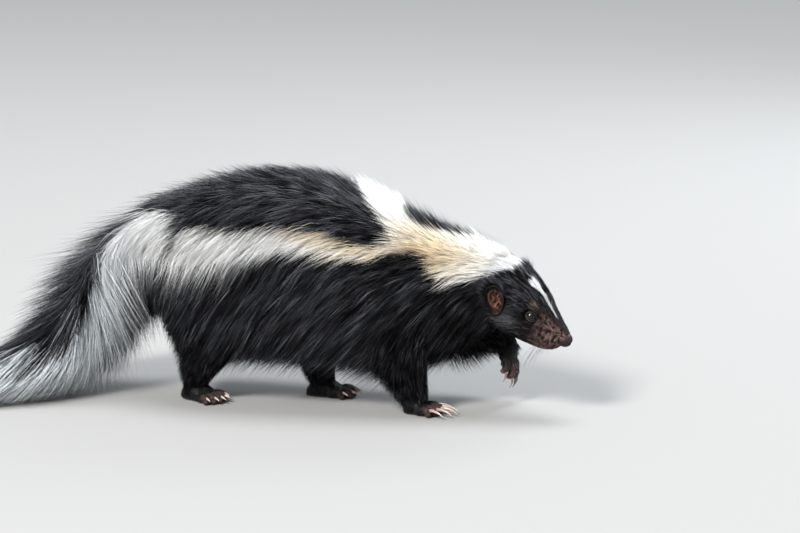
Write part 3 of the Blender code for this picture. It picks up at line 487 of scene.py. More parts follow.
# Each nostril's comma, as places back from the nose tip, out to the side and up
NOSTRIL = (
    (-0.0016, 0.0022, -0.0025),
    (0.0004, 0.0034, -0.0023),
    (0.0022, 0.0049, -0.0027),
    (0.0040, 0.0062, -0.0037),
    (0.0054, 0.0068, -0.0047),
)
NOSTRIL_REACH = ((0, 0.00120), (1.5, 0.00110), (4, 0.00050))
NOSTRIL_DEPTH = 0.0016
EAR_WIDER = 0.22  # how much wider an ear is above than below
EAR_SHELL = 1.03  # the size of an ear's back against its cup's
EAR_HAIRS, EAR_DOWN_HAIRS = 1900, 260
# Ranges of the length, half-width and rise of the hair round an ear, and of the down inside it: how
# far it grows up and down and forwards and back, then its length
EAR_HAIR = (0.0035, 0.0075), (0.00017, 0.00026), (0.0, 0.25)
DOWN_HIGH, DOWN_WIDE, DOWN_LENGTH = (-0.011, 0.011), (-0.006, 0.006), (0.0025, 0.0055)

# Toes: share of their length, then their width against the widest
TOE_TAPER = ((0, 0.9), (0.35, 0.84), (0.7, 1.0), (1, 0.55))
CLAW_RADIUS = 0.0017
BULB_RADIUS = 0.0044
SOLE_SKIN = 0.0022  # height of the pale skin over the sole
# Hair of the feet: share of the sole's length, then a value there
FOOT_THINNING = ((0.55, 1.0), (1.05, 0.12))
FOOT_LENGTH = ((-0.4, 0.0060), (0.4, 0.0045), (1.0, 0.0026))
# Ranges of its length against that table, its half-width and its rise
FOOT_HAIR = (0.7, 1.2), (0.00016, 0.00024), (0.10, 0.30)
FOOT_DENSITY, RAISED_DENSITY = 0.34, 0.13  # how often a place on the foot has a hair
FOOT_HAIR_HEIGHT, FOOT_HAIR_FACING = 0.0045, -0.55  # hair grows above this height, and not facing down
RAISED_BRIGHT, RAISED_CLAW = 1.5, 0.55  # brightness of the raised foot's skin and claws

# The photograph's camera: azimuth, elevation, distance, metres for one pixel at the target
CAMERA_TURN = math.radians(18.0)
CAMERA_RISE = math.radians(12.5)
CAMERA_AWAY = 3.0
METRES_A_PIXEL = 0.00093
PHOTO_WIDTH = 800
AIM_RIGHT, AIM_UP = 0.0744, 0.1223
SENSOR = 36.0

# Lights: name, place, aim, size, power, colour
LIGHTS = (
    ("key_light", (-1.5, -5.75, 5.0), (0, 0, 0.1), 2.1, 1380, (1.0, 0.985, 0.96)),
    ("top_light", (0.25, 1.25, 6.5), (0, 0, 0.1), 3.6, 560, (0.92, 0.96, 1.0)),
    ("rim_light", (0.9, 2.0, 1.3), (0.1, 0, 0.12), 1.2, 32, (0.88, 0.94, 1.0)),
)
SKY, SKY_STRENGTH = (0.86, 0.90, 0.95, 1), 0.85
FLOOR_HALF = 12.0


class Form:
    """An axis with an outline of flesh and one of the coat's tips round it."""

    def __init__(self, stations, reference, ease):
        self.rows = np.array(stations, float)
        self.reference = np.array(reference, float)
        steps = np.linalg.norm(np.diff(self.rows[:, :3], axis=0), axis=1)
        self.knots = np.concatenate([[0.0], np.cumsum(steps)])
        spans = self.knots[2:] - self.knots[:-2]
        inner = (self.rows[2:] - self.rows[:-2]) / spans[:, None]
        first = (self.rows[1] - self.rows[0]) / steps[0]
        last = (self.rows[-1] - self.rows[-2]) / steps[-1]
        self.slopes = np.vstack([first, inner, last])
        self.grid = np.linspace(0, self.knots[-1], EASE_STEPS)
        _, turned = self.read(self.grid)
        near = np.exp(-(((self.grid[:, None] - self.grid[None, :]) / ease) ** 2))
        facing = near @ turned
        self.facing = facing / np.linalg.norm(facing, axis=1, keepdims=True)

    def read(self, along):
        """A station at this distance along the axis, and the axis's direction there."""
        knots = self.knots
        along = np.atleast_1d(np.asarray(along, float))
        i = np.clip(np.searchsorted(knots, along) - 1, 0, len(knots) - 2)
        span = knots[i + 1] - knots[i]
        t = ((along - knots[i]) / span)[:, None]
        before, after = self.rows[i], self.rows[i + 1]
        m0, m1 = self.slopes[i] * span[:, None], self.slopes[i + 1] * span[:, None]
        value = cubic(t, before, after, m0, m1)
        rate = (
            (6 * t**2 - 6 * t) * (before - after)
            + (3 * t**2 - 4 * t + 1) * m0
            + (3 * t**2 - 2 * t) * m1
        )[:, :3]
        return value, rate / np.linalg.norm(rate, axis=1, keepdims=True)

    def point(self, along, angle, share):
        """Places in the coat. The arguments are numbers or arrays of one shape."""
        along, angle, share = np.broadcast_arrays(
            *(np.atleast_1d(np.asarray(v, float)) for v in (along, angle, share))
        )
        shape = along.shape
        along, angle, share = along.ravel(), angle.ravel(), share.ravel()
        row, _ = self.read(along)
        tangent = np.stack([np.interp(along, self.grid, self.facing[:, k]) for k in range(3)], 1)
        tangent /= np.linalg.norm(tangent, axis=1, keepdims=True)
        side = np.cross(tangent, self.reference)
        side /= np.linalg.norm(side, axis=1, keepdims=True)
        up = np.cross(side, tangent)
        sine, cosine = np.sin(angle), np.cos(angle)
        lower = np.clip(FLESH_POWER + (COAT_POWER - FLESH_POWER) * share, 2.0, COAT_POWER)
        power = 2 / np.where(cosine >= 0, UPPER_POWER, lower)
        coat = share[:, None] * row[:, 6:9] if row.shape[1] > 6 else np.zeros((len(row), 3))
        wide = row[:, 3] + coat[:, 0]
        high = np.where(cosine >= 0, row[:, 4] + coat[:, 1], row[:, 5] + coat[:, 2])
        across = (wide * signed_power(sine, power))[:, None]
        above = (high * signed_power(cosine, power))[:, None]
        return (row[:, :3] + side * across + up * above).reshape(shape + (3,))


def arrays(vectors):
    return [np.array(vector) for vector in vectors]


def circle(count):
    """Even angles round a full turn."""
    return np.linspace(0, 2 * math.pi, count, endpoint=False)


def unit(vectors):
    return vectors / np.maximum(np.linalg.norm(vectors, axis=-1, keepdims=True), 1e-9)


def ramp(value, start, over):
    """A value's rise from 0 at start to 1 past it. It falls from 1 where over is negative."""
    return np.clip((value - start) / over, 0, 1)


def patch(along, turn, middle, spread, turn_middle, turn_spread, strength):
    """How strongly a soft patch of colour shows at these places."""
    return bump_of(along, middle, spread) * bump_of(turn, turn_middle, turn_spread) * strength


def read_table(table, at, column=1, **beyond):
    """Reads one column of a table at these values of its first, straight between its rows."""
    rows = np.array(table)
    return np.interp(at, rows[:, 0], rows[:, column], **beyond)


def signed_power(value, power):
    return np.sign(value) * np.abs(value) ** power


def cubic(t, before, after, rise_before, rise_after):
    """A smooth value between two, from their slopes over the span between them."""
    return (
        (2 * t**3 - 3 * t**2 + 1) * before
        + (t**3 - 2 * t**2 + t) * rise_before
        + (3 * t**2 - 2 * t**3) * after
        + (t**3 - t**2) * rise_after
    )


def above_floor(points):
    """Bends whatever would pass through the floor along it."""
    points = points.copy()
    high = points[..., 2] - FLOOR_CLEAR
    points[..., 2] = FLOOR_CLEAR + (high + np.sqrt(high**2 + FLOOR_SOFT**2)) / 2
    return points


# The head


def head_axes():
    turn = Matrix.Rotation(-HEAD_YAW, 3, "Z") @ Matrix.Rotation(HEAD_PITCH, 3, "Y")
    turn = turn @ Matrix.Rotation(HEAD_ROLL, 3, "X")
    return turn @ Vector((1, 0, 0)), turn @ Vector((0, -1, 0)), turn @ Vector((0, 0, 1))


def on_head(back, out, up, side=1):
    """A place in the head's own frame. side is 1 for the animal's right and -1 for its left."""
    forward, right, above = head_axes()
    return NOSE_TIP - forward * back + right * (out * side) + above * up


def eased_table(rows, at):
    """Reads a table's columns smoothly at these values of its first column."""
    rows = np.array(rows)
    knots = rows[:, 0]
    slopes = np.gradient(rows[:, 1:], knots, axis=0)
    at = np.clip(at, knots[0], knots[-1])
    i = np.clip(np.searchsorted(knots, at) - 1, 0, len(knots) - 2)
    span = (knots[i + 1] - knots[i])[..., None]
    t = (at - knots[i])[..., None] / span
    return cubic(t, rows[i, 1:], rows[i + 1, 1:], slopes[i] * span, slopes[i + 1] * span)


def wrapped(angle):
    return (angle + math.pi) % (2 * math.pi) - math.pi


def head_outline(back, angle, out=0.0):
    """How far to the animal's right and how far up the head's outline lies."""
    table = eased_table(HEAD, back)
    wide, top, bottom = table[..., 0], table[..., 1], table[..., 2]
    sine, cosine = np.sin(angle), np.cos(angle)
    power = 2 / np.where(cosine >= 0, CROWN_POWER, JAW_POWER)
    high = np.where(cosine >= 0, top, bottom)
    return (wide + out) * signed_power(sine, power), (high + out) * signed_power(cosine, power)


def head_surface(back, angle, lift=0.0):
    """Points on the head's skin, as an array."""
    back, angle, lift = np.broadcast_arrays(*(np.asarray(v, float) for v in (back, angle, lift)))
    out = lift.copy()
    for middle, turn, length, width, rise in HEAD_SHAPES:
        away = np.abs(wrapped(angle)) - turn
        out = out + rise * np.exp(-(((back - middle) / length) ** 2) - (away / width) ** 2)
    across, above = head_outline(back, angle, out)
    forward, right, up = (np.array(axis) for axis in head_axes())
    start = np.array(NOSE_TIP)
    return start - forward * back[..., None] + right * across[..., None] + up * above[..., None]


def eye_centre(side):
    return on_head(*EYE_PLACE, side)


def eye_axes(side):
    """The way an eye looks, then its own forward and up directions."""
    forward, right, above = head_axes()
    look = (right * side * 0.80 + above * 0.42 + forward * 0.42).normalized()
    level = (forward - look * forward.dot(look)).normalized()
    return look, level, look.cross(level).normalized() * side


def ear_axes(side):
    """The way an ear's cup opens, then forwards along its rim, then up."""
    forward, right, above = head_axes()
    opening = (right * side * 0.93 + forward * 0.32 + above * 0.02).normalized()
    upright = above * 0.85 - forward * 0.50
    upright = (upright - opening * upright.dot(opening)).normalized()
    return opening, upright.cross(opening).normalized() * side, upright


# Markings


def inside(outline, along, angle):
    """Whether places lie inside an outline given as distances along and angles in degrees."""
    x, y = np.asarray(along), np.degrees(angle)
    within = np.zeros(x.shape, bool)
    corners = list(outline)
    for (x0, y0), (x1, y1) in zip(corners, corners[1:] + corners[:1]):
        if y0 == y1:
            continue
        crosses = (y0 > y) != (y1 > y)
        within ^= crosses & (x < x0 + (y - y0) * (x1 - x0) / (y1 - y0))
    return within


def body_white(along, angle):
    angle = wrapped(angle)
    return inside(NEAR_STRIPE, along, angle) | inside(FAR_STRIPE, along, angle)


def head_white(back, angle, across):
    """White on the crown and down the face. across is the place to the side, in metres."""
    crown = back > read_table(CROWN_EDGE, np.degrees(wrapped(angle)), left=1.0, right=1.0)
    middle = read_table(FACE_STRIPE, back)
    half = read_table(FACE_STRIPE, back, 2, left=0.0, right=0.0)
    return crown | ((np.cos(angle) > 0) & (np.abs(across - middle) < half))


def blend(low, high, at):
    return np.asarray(low) + (np.asarray(high) - np.asarray(low)) * np.asarray(at)[..., None]


def bump_of(value, middle, spread):
    return np.exp(-(((value - middle) / spread) ** 2))


def white_colour(along, angle, chance):
    """White fur's colour at its tip and its root, the root darker as painted shade deep in the coat.

    It is cream on the nape and the stripe's upper edge and tan beside them; on the tail it has a painted
    bluish cast of shade, darker at the roots.
    """
    turn = np.degrees(np.abs(wrapped(angle)))
    nape = np.clip(patch(along, turn, *NAPE_CREAM), 0, 1)
    warm = nape + patch(along, turn, *EDGE_CREAM) + chance.normal(0, 0.10, along.shape)
    cool = ramp(along, *COOL_ONSET)
    tan = patch(along, turn, *NAPE_TAN) + patch(along, turn, *EDGE_TAN)
    tip = blend(blend(WHITE, CREAM, np.clip(warm, 0, 1)), SHADE_BLUE_WHITE, cool)
    # Painted shade: the roots are greyer than the tips, and tan under the nape's cream
    root = blend(WHITE_ROOT_SHADED, TAN, np.clip(nape * 0.75, 0, 1))
    # On the tail, tips and roots take the painted bluish shade
    return blend(tip, TAN, np.clip(tan, 0, 0.8)), blend(root, np.array(SHADE_BLUE_WHITE) * 0.55, cool)


def black_colour(count, chance, shade):
    """Black fur with painted glints: its locks, and the strands in them, differ in how much painted grey
    highlight they show.
    """
    glint = GLINT_LEAST + (1 - GLINT_LEAST) * np.clip(shade, 0, 1) ** GLINT_POWER
    colour = blend(BLACK, BLACK_PAINTED_GLINT, glint * chance.uniform(*GLINT_RANGE, count))
    return blend(colour, BROWN_BLACK, (chance.random(count) < BROWN_CHANCE) * BROWN_SHARE)


# Materials


def new_material(name, roughness, specular, others):
    """A material, its node tree and its shader with these inputs set."""
    made = bpy.data.materials.new(name)
    made.use_nodes = True
    shader = made.node_tree.nodes["Principled BSDF"]
    for socket, value in {"Roughness": roughness, "Specular IOR Level": specular, **others}.items():
        shader.inputs[socket].default_value = value
    return made, made.node_tree, shader


def colour_of(tree):
    node = tree.nodes.new("ShaderNodeAttribute")
    node.attribute_name = "tint"
    return node.outputs["Color"]


def noise_of(tree, scale, detail, stretch):
    place = tree.nodes.new("ShaderNodeTexCoord")
    spread = tree.nodes.new("ShaderNodeMapping")
    spread.inputs["Scale"].default_value = stretch
    noise = tree.nodes.new("ShaderNodeTexNoise")
    noise.inputs["Scale"].default_value = scale
    noise.inputs["Detail"].default_value = detail
    tree.links.new(place.outputs["Object"], spread.inputs["Vector"])
    tree.links.new(spread.outputs["Vector"], noise.inputs["Vector"])
    return noise.outputs["Fac"]


def tinted(tree, shader, strength, amount):
    """The colour attribute, made lighter and darker by a value from 0 to 1."""
    mix = tree.nodes.new("ShaderNodeMix")
    mix.data_type = "RGBA"
    mix.blend_type = "OVERLAY"
    mix.inputs["Factor"].default_value = amount
    tree.links.new(colour_of(tree), mix.inputs[6])
    tree.links.new(strength, mix.inputs[7])
    tree.links.new(mix.outputs[2], shader.inputs["Base Color"])


def bumped(tree, shader, height, distance):
    bump = tree.nodes.new("ShaderNodeBump")
    bump.inputs["Strength"].default_value = 1.0
    bump.inputs["Distance"].default_value = distance
    tree.links.new(height, bump.inputs["Height"])
    tree.links.new(bump.outputs["Normal"], shader.inputs["Normal"])


def grained_material(name, inputs, grain, detail, contrast, depth, stretch):
    """A material whose colour, and relief where it has a depth, vary with a fine noise."""
    made, tree, shader = new_material(name, *inputs)
    noise = noise_of(tree, grain, detail, stretch)
    tinted(tree, shader, noise, contrast)
    if depth:
        bumped(tree, shader, noise, depth)
    return made


def nose_material():
    """Leather whose relief is a net of small cells."""
    made, tree, shader = new_material("nose_leather", 0.40, 0.25, {})
    place = tree.nodes.new("ShaderNodeTexCoord")
    cells = tree.nodes.new("ShaderNodeTexVoronoi")
    cells.feature = "DISTANCE_TO_EDGE"
    cells.inputs["Scale"].default_value = 1100.0
    tree.links.new(place.outputs["Object"], cells.inputs["Vector"])
    tinted(tree, shader, noise_of(tree, 500.0, 4.0, EVEN), 0.5)
    bumped(tree, shader, cells.outputs["Distance"], 0.00025)
    return made


def floor_material():
    made, _, shader = new_material("floor_pale", 0.85, 0.5, {})
    shader.inputs["Base Color"].default_value = FLOOR_COLOUR
    return made


# Meshes


def placed(name, data):
    """A new object for some data, put in the scene."""
    made = bpy.data.objects.new(name, data)
    bpy.context.scene.collection.objects.link(made)
    return made


def mesh_from_arrays(name, points, quads, triangles, look, tint=None, point_uv=None):
    """A mesh object from arrays of points, four-sided faces and three-sided faces."""
    mesh = bpy.data.meshes.new(name)
    quads = np.asarray(quads, np.int32).reshape(-1, 4)
    triangles = np.asarray(triangles, np.int32).reshape(-1, 3)
    corners = np.concatenate([quads.ravel(), triangles.ravel()])
    totals = np.concatenate([np.full(len(quads), 4), np.full(len(triangles), 3)]).astype(np.int32)
    starts = np.concatenate([[0], np.cumsum(totals)[:-1]]).astype(np.int32)
    mesh.vertices.add(len(points))
    mesh.vertices.foreach_set("co", np.asarray(points, np.float32).ravel())
    mesh.loops.add(len(corners))
    mesh.loops.foreach_set("vertex_index", corners.astype(np.int32))
    mesh.polygons.add(len(totals))
    mesh.polygons.foreach_set("loop_start", starts)
    mesh.polygons.foreach_set("use_smooth", np.ones(len(totals), bool))
    if point_uv is not None:
        layer = mesh.uv_layers.new(name="OFBake")
        layer.data.foreach_set("uv", point_uv[corners].astype(np.float32).ravel())
    mesh.update(calc_edges=True)
    mesh.validate()
    if tint is not None:
        set_tint(mesh, tint)
    mesh.materials.append(look)
    return placed(name, mesh)


def set_tint(mesh, tint):
    layer = mesh.color_attributes.new("tint", "FLOAT_COLOR", "POINT")
    values = np.ones((len(mesh.vertices), 4), np.float32)
    values[:, :3] = tint
    layer.data.foreach_set("color", values.ravel())


def grid_faces(rings, sides):
    """Four-sided faces of a tube of rings."""
    i, j = np.meshgrid(np.arange(rings - 1), np.arange(sides), indexing="ij")
    k = (j + 1) % sides
    a, b = i * sides, (i + 1) * sides
    return np.stack([a + j, b + j, b + k, a + k], -1).reshape(-1, 4)


def tube_object(name, sections, start, end, look, tint):
    """A closed tube through sections (rings, sides, 3), drawn to a point at both ends."""
    rings, sides = sections.shape[:2]
    points = np.concatenate([sections.reshape(-1, 3), [start], [end]])
    j = np.arange(sides)
    k = (j + 1) % sides
    first, last = rings * sides, rings * sides + 1
    base = (rings - 1) * sides
    start_cap = np.stack([j, k, np.full(sides, first)], 1)
    end_cap = np.stack([base + k, base + j, np.full(sides, last)], 1)
    caps = np.concatenate([start_cap, end_cap])
    made = mesh_from_arrays(name, points, grid_faces(rings, sides), caps, look, tint)
    face_outwards(made)
    return made


def face_outwards(obj):
    mesh = bmesh.new()
    mesh.from_mesh(obj.data)
    bmesh.ops.recalc_face_normals(mesh, faces=mesh.faces)
    if mesh.calc_volume(signed=True) < 0:
        bmesh.ops.reverse_faces(mesh, faces=mesh.faces)
    mesh.to_mesh(obj.data)
    mesh.free()


def evaluated_mesh(obj):
    graph = bpy.context.evaluated_depsgraph_get()
    return bpy.data.meshes.new_from_object(obj.evaluated_get(graph))


def join_objects(objects, name):
    """Joins meshes that only share a place."""
    bpy.ops.object.select_all(action="DESELECT")
    for obj in objects:
        obj.select_set(True)
    bpy.context.view_layer.objects.active = objects[0]
    bpy.ops.object.join()
    objects[0].name = name
    return objects[0]


def fused(objects, name, voxel, smoothing):
    """One smooth skin over pieces that cross one another."""
    made = join_objects(objects, name)
    remesh = made.modifiers.new("remesh", "REMESH")
    remesh.mode = "VOXEL"
    remesh.voxel_size = voxel
    remesh.use_smooth_shade = True
    soften = made.modifiers.new("soften", "SMOOTH")
    soften.factor = 0.5
    soften.iterations = smoothing
    result = evaluated_mesh(made)
    made.modifiers.clear()
    made.data = result
    return made


def vertices_of(obj):
    points = np.zeros(len(obj.data.vertices) * 3, np.float32)
    obj.data.vertices.foreach_get("co", points)
    return points.reshape(-1, 3).astype(float)


# Skin


def set_vertices(obj, points):
    obj.data.vertices.foreach_set("co", points.astype(np.float32).ravel())


def dressed(obj, look, tint):
    """Gives a mesh one material and its own colours."""
    old = obj.data.color_attributes.get("tint")
    if old is not None:
        obj.data.attributes.remove(old)
    set_tint(obj.data, tint)
    obj.data.materials.clear()
    obj.data.materials.append(look)


def leg_form(joints):
    stations = [(x, y, z, across, along, along) for x, y, z, along, across in joints]
    return Form(stations, (1, 0, 0), LEG_EASE)


def tube_of(form, start, end, rings, sides, share):
    """Rings of points along a form, at a share of its coat's depth for each ring."""
    along = np.linspace(start, end, rings)[:, None]
    return form.point(along + 0 * circle(sides), 0 * along + circle(sides), share[:, None] + np.zeros(sides))


def body_skin_pieces(spine, look):
    rings, limb_rings, sides = 150, 40, 64
    along = np.linspace(0.0, SKIN_END, rings)
    share = np.interp(along, (TAIL_START - 0.05, TAIL_START + 0.03), (SKIN_SHARE, TAIL_SKIN_SHARE))
    sections = tube_of(spine, 0.0, SKIN_END, rings, sides, share)
    made = [tube_object("trunk", sections, sections[0].mean(0), sections[-1].mean(0), look, None)]
    for _, _, joints, *_ in LEGS:
        form = leg_form(joints)
        sections = tube_of(form, 0, form.knots[-1], limb_rings, sides, np.zeros(limb_rings))
        middle = sections.mean(1, keepdims=True)
        sections = middle + (sections - middle) * LEG_INSET
        (first, last), (out, on) = form.read([0.0, form.knots[-1]])
        start, end = first[:3] - out * LIMB_CAP, last[:3] + on * LIMB_CAP
        made.append(tube_object("limb", sections, start, end, look, None))
    return made


def make_body_skin(spine, look):
    """Trunk, tail and legs as one skin, coloured as the coat over it."""
    made = fused(body_skin_pieces(spine, look), "skin_body", BODY_VOXEL, 4)
    points = vertices_of(made)
    points[:, 2] = np.maximum(points[:, 2], FLOOR_CLEAR)
    set_vertices(made, points)
    along = np.linspace(0, SKIN_END, 220)
    turns = np.linspace(-math.pi, math.pi, 96, endpoint=False)
    s, a = (grid.ravel() for grid in np.meshgrid(along, turns, indexing="ij"))
    places = spine.point(s, a, 0.3)
    tree = KDTree(len(places))
    for i, place in enumerate(places):
        tree.insert(place, i)
    tree.balance()
    found = [tree.find(point) for point in points]
    near = np.array([index for _, index, _ in found])
    away = np.array([distance for _, _, distance in found])
    white = body_white(s[near], a[near]) & (away < COAT_REACH)
    # Under the white markings the skin is grey: painted shade between the white hairs
    tint = np.where(white[:, None], np.array(WHITE_ROOT_SHADED) * 0.6, np.array(BLACK) * 0.5)
    tint = speckled(tint, 0.1, np.random.default_rng(SEED))
    dressed(made, look, tint)
    return made


def speckled(tint, spread, chance):
    """Colours made lighter and darker at random."""
    return np.clip(tint * (1 + spread * chance.standard_normal(len(tint)))[:, None], 0, 1)


def with_ends(tint):
    """Colours of a tube's rings, then those of its two ends."""
    return np.concatenate([tint, tint[:1], tint[-1:]])


def mouth_distance(points):
    """How far points lie from the line of the closed mouth."""
    _, places = spaced(MOUTH, 60)
    back, angle = places.T
    line = np.concatenate([head_surface(back, angle), head_surface(back, -angle)])
    best = np.full(len(points), 1.0)
    for place in line:
        best = np.minimum(best, np.linalg.norm(points - place, axis=1))
    return best


def from_eye(points, side):
    """Places in an eye's own frame, and how far out they lie against the lids' opening."""
    look_out, level, upright = arrays(eye_axes(side))
    away = points - np.array(eye_centre(side))
    u, v, w = away @ level, away @ upright, away @ look_out
    return u, v, w, np.sqrt((u / LID_LONG) ** 2 + (v / LID_HIGH) ** 2)


def open_eyes(points):
    """Lays the skin over the eyeballs with an opening between the lids, and says where the lids are."""
    lid = np.zeros(len(points))
    for side in SIDES:
        u, v, w, round_eye = from_eye(points, side)
        near = (w > -0.004) & (round_eye < 3.0)
        eyeball = np.sqrt(np.maximum(EYE_RADIUS**2 - u**2 - v**2, 0))
        hole, over = eyeball - LID_HOLE, eyeball + LID_THICK
        outer = ramp(round_eye, 1.15, 0.85)
        outer = outer * outer * (3 - 2 * outer)
        target = hole + (over - hole) * ramp(round_eye, 0.92, 0.16)
        wanted = np.where(near, target * (1 - outer) + w * outer, w)
        points = points + np.array(eye_axes(side)[0]) * (wanted - w)[:, None]
        lid = np.maximum(lid, np.where(near, bump_of(round_eye, 1.05, 0.16), 0))
    return points, lid


def make_head_skin(look):
    """The head with its eye openings, the line of the mouth and its lips."""
    rings, sides = 190, 200
    first, last = HEAD[0][0], HEAD[-1][0]
    back = first + (last - first) * np.linspace(0, 1, rings) ** 1.25
    angle = 2 * math.pi * (np.arange(sides) + 0.5) / sides
    b, a = np.meshgrid(back, angle, indexing="ij")
    points = head_surface(b, a).reshape(-1, 3)
    normal = unit(head_surface(b, a, 0.001).reshape(-1, 3) - points)
    away = mouth_distance(points)
    relief = LIP_RISE * bump_of(away, *LIP) - MOUTH_DEPTH * bump_of(away, 0, MOUTH_WIDTH)
    points, lid = open_eyes(points + normal * relief[:, None])
    tint = with_ends(head_skin_colour(b.ravel(), a.ravel(), lid, away))
    start, end = (np.array(on_head(place, 0, 0)) for place in (first - HEAD_CAP, last + HEAD_CAP))
    return tube_object("skin_head", points.reshape(rings, sides, 3), start, end, look, tint)


def head_skin_colour(back, angle, lid, mouth_away):
    """Bare brown muzzle, dark face, lids and mouth, a paler chin, and white dimmed to grey under the white
    fur as painted shade between its hairs.
    """
    chance = np.random.default_rng(SEED + 1)
    turn = np.abs(wrapped(angle))
    bare = ramp(back, 0.038, -0.016) * np.clip((turn - 0.35) / 0.5, 0.12, 1)
    blotched = np.clip(0.44 + 0.60 * mottling(back, angle, chance), 0.02, 1)
    tint = blend(FACE_SKIN, MUZZLE_SKIN, bare * blotched)
    white = head_white(back, angle, head_outline(back, angle)[0])
    # Grey under the white fur: painted shade between the hairs
    tint = np.where(white[:, None], np.array(WHITE) * 0.35, tint)
    tint = blend(tint, CHIN_SKIN, patch(back, turn, *PALE_CHIN))
    tint = blend(tint, LID_SKIN, lid * 0.9)
    tint = blend(tint, MOUTH_LINE, bump_of(mouth_away, 0, 0.0007))
    return speckled(tint, 0.12, chance)


def mottling(back, angle, chance):
    """Light and dark blotches of the muzzle's skin, from -1 to 1."""
    total = np.zeros(len(back))
    for _ in range(BLOTCHES):
        middle = chance.uniform(*BLOTCH_BACK)
        turn = chance.uniform(*BLOTCH_TURN) * chance.choice(SIGNS)
        size = chance.uniform(*BLOTCH_SIZE)
        reach = np.interp(middle, BLOTCH_BACK, BLOTCH_RADIUS)
        away = ((back - middle) / size) ** 2 + (wrapped(angle - turn) * reach / size) ** 2
        total = total + chance.choice(SIGNS) * np.exp(-away)
    return np.clip(total, -1, 1)


# The coat


def strands(name, colour, looks, lines, outward, half, tips, roots, uv, flat=STRAND_FLAT):
    """Closed tapered strands as pieces of the coat, each strand a centre line that ends in its tip."""
    made = []
    rings = lines.shape[1] - 1
    shape = np.linspace(0, 1, rings)
    wide = read_table(TAPER, shape)
    turn = np.radians(STRAND_CORNERS)
    each, last = 3 * rings + 1, 3 * (rings - 1)
    tip = each - 1
    caps = np.array([[last, tip, last + 1], [last + 1, tip, last + 2], [last + 2, tip, last], [0, 1, 2]])
    t = np.concatenate([np.repeat(shape * LAST_RING, 3), [1.0]])
    patch_uv = np.stack([t, np.concatenate([np.tile([0.0, 0.5, 1.0], rings), [0.5]])], -1) * PATCH
    for n, start in enumerate(range(0, len(lines), PIECE_STRANDS)):
        part = slice(start, start + PIECE_STRANDS)
        line = lines[part]
        before = np.concatenate([line[:, :1], line[:, : rings - 1]], 1)
        ahead = unit(line[:, 1:] - before)
        side = unit(np.cross(ahead, outward[part][:, None]))
        up = np.cross(side, ahead)
        width = (half[part][:, None] * wide)[:, :, None, None]
        ring = line[:, :rings, None] + width * (
            side[:, :, None] * np.cos(turn)[:, None] + up[:, :, None] * (np.sin(turn) * flat)[:, None]
        )
        points = np.concatenate([ring.reshape(len(line), -1, 3), line[:, rings:]], 1).reshape(-1, 3)
        base = (np.arange(len(line)) * each)[:, None, None]
        quads = (grid_faces(rings, 3)[None] + base).reshape(-1, 4)
        triangles = (caps[None] + base).reshape(-1, 3)
        tint = roots[part][:, None] + (tips[part] - roots[part])[:, None] * t[None, :, None]
        places = (uv[part][:, None] + patch_uv).reshape(-1, 2)
        piece = mesh_from_arrays(
            f"{name}_{n + 1}", points, quads, triangles, looks[colour], tint.reshape(-1, 3), places
        )
        made.append(piece)
    return made


def two_colours(name, looks, chosen, hair, tints):
    """The white strands of a stretch of the coat, then its black ones."""
    made = []
    for colour, of_colour, tint in zip(("white", "black"), chosen, tints):
        lines, outward, half, uv = (values[of_colour] for values in hair)
        tips, roots = (values[of_colour] for values in tint)
        made += strands(f"{name}_{colour}", colour, looks, lines, outward, half, tips, roots, uv)
    return made


def even_places(weights, count, chance):
    """Cells picked in proportion to their weights, evenly spread, with a random place inside each."""
    ordered = weights.copy()
    ordered[1::2] = ordered[1::2, ::-1]
    total = np.cumsum(ordered.ravel())
    picks = (np.arange(count) + chance.random(count)) / count * total[-1]
    cell = np.clip(np.searchsorted(total, picks), 0, ordered.size - 1)
    i, j = np.divmod(cell, weights.shape[1])
    j = np.where(i % 2 == 1, weights.shape[1] - 1 - j, j)
    return i + chance.random(count), j + chance.random(count)


def cell_areas(points):
    along = points[1:, :-1] - points[:-1, :-1]
    across = points[:-1, 1:] - points[:-1, :-1]
    return np.linalg.norm(np.cross(along, across), axis=-1)


def scattered(surface, along, turns, density, chance):
    """Random places on a surface's grid, with as many in each square metre as density says."""
    weights = cell_areas(surface(*np.meshgrid(along, turns, indexing="ij"))) * density
    i, j = even_places(weights, int(weights.sum()), chance)
    return along[0] + i * (along[1] - along[0]), turns[0] + j * (turns[1] - turns[0])


def spine_roots(spine, span, chance):
    """Where the strands of a length of the trunk or tail grow: more on the tail's top, fewer below."""
    along = np.linspace(*span, 220)
    turns = np.linspace(-math.pi, math.pi, 181)
    s, up = along[:-1, None], np.cos(turns[:-1])
    fuller = 1 + 1.1 * read_table(TAIL_FULLER, s) * np.clip(up, 0, 1)
    density = read_table(COAT, s, 3) * TO_M2 * fuller * (1 - 0.30 * ramp(up, -0.45, -0.15))
    return scattered(lambda x, y: spine.point(x, y, 0.5), along, turns, density, chance)


def clumped(along, angle, radius, cell_along, cell_across, chance):
    """For each root, the middle of the clump that it belongs to, and two chances that the clump shares."""
    row = np.floor((along + 1.0) / cell_along).astype(int)
    circle = np.maximum(4, np.round(2 * math.pi * radius / cell_across)).astype(int)
    most = row.max() + 1
    circle_of_row = np.zeros(most, int)
    circle_of_row[row] = circle
    circle = circle_of_row[row]
    column = np.floor((angle / (2 * math.pi) % 1.0) * circle).astype(int) % circle
    jitter = chance.random((most, circle_of_row.max() + 1, 4))[row, column]
    middle_along = (row + jitter[:, 0]) * cell_along - 1.0
    middle_angle = (column + jitter[:, 1]) / circle * 2 * math.pi
    return middle_along, angle + wrapped(middle_angle - angle), jitter[:, 2], jitter[:, 3]


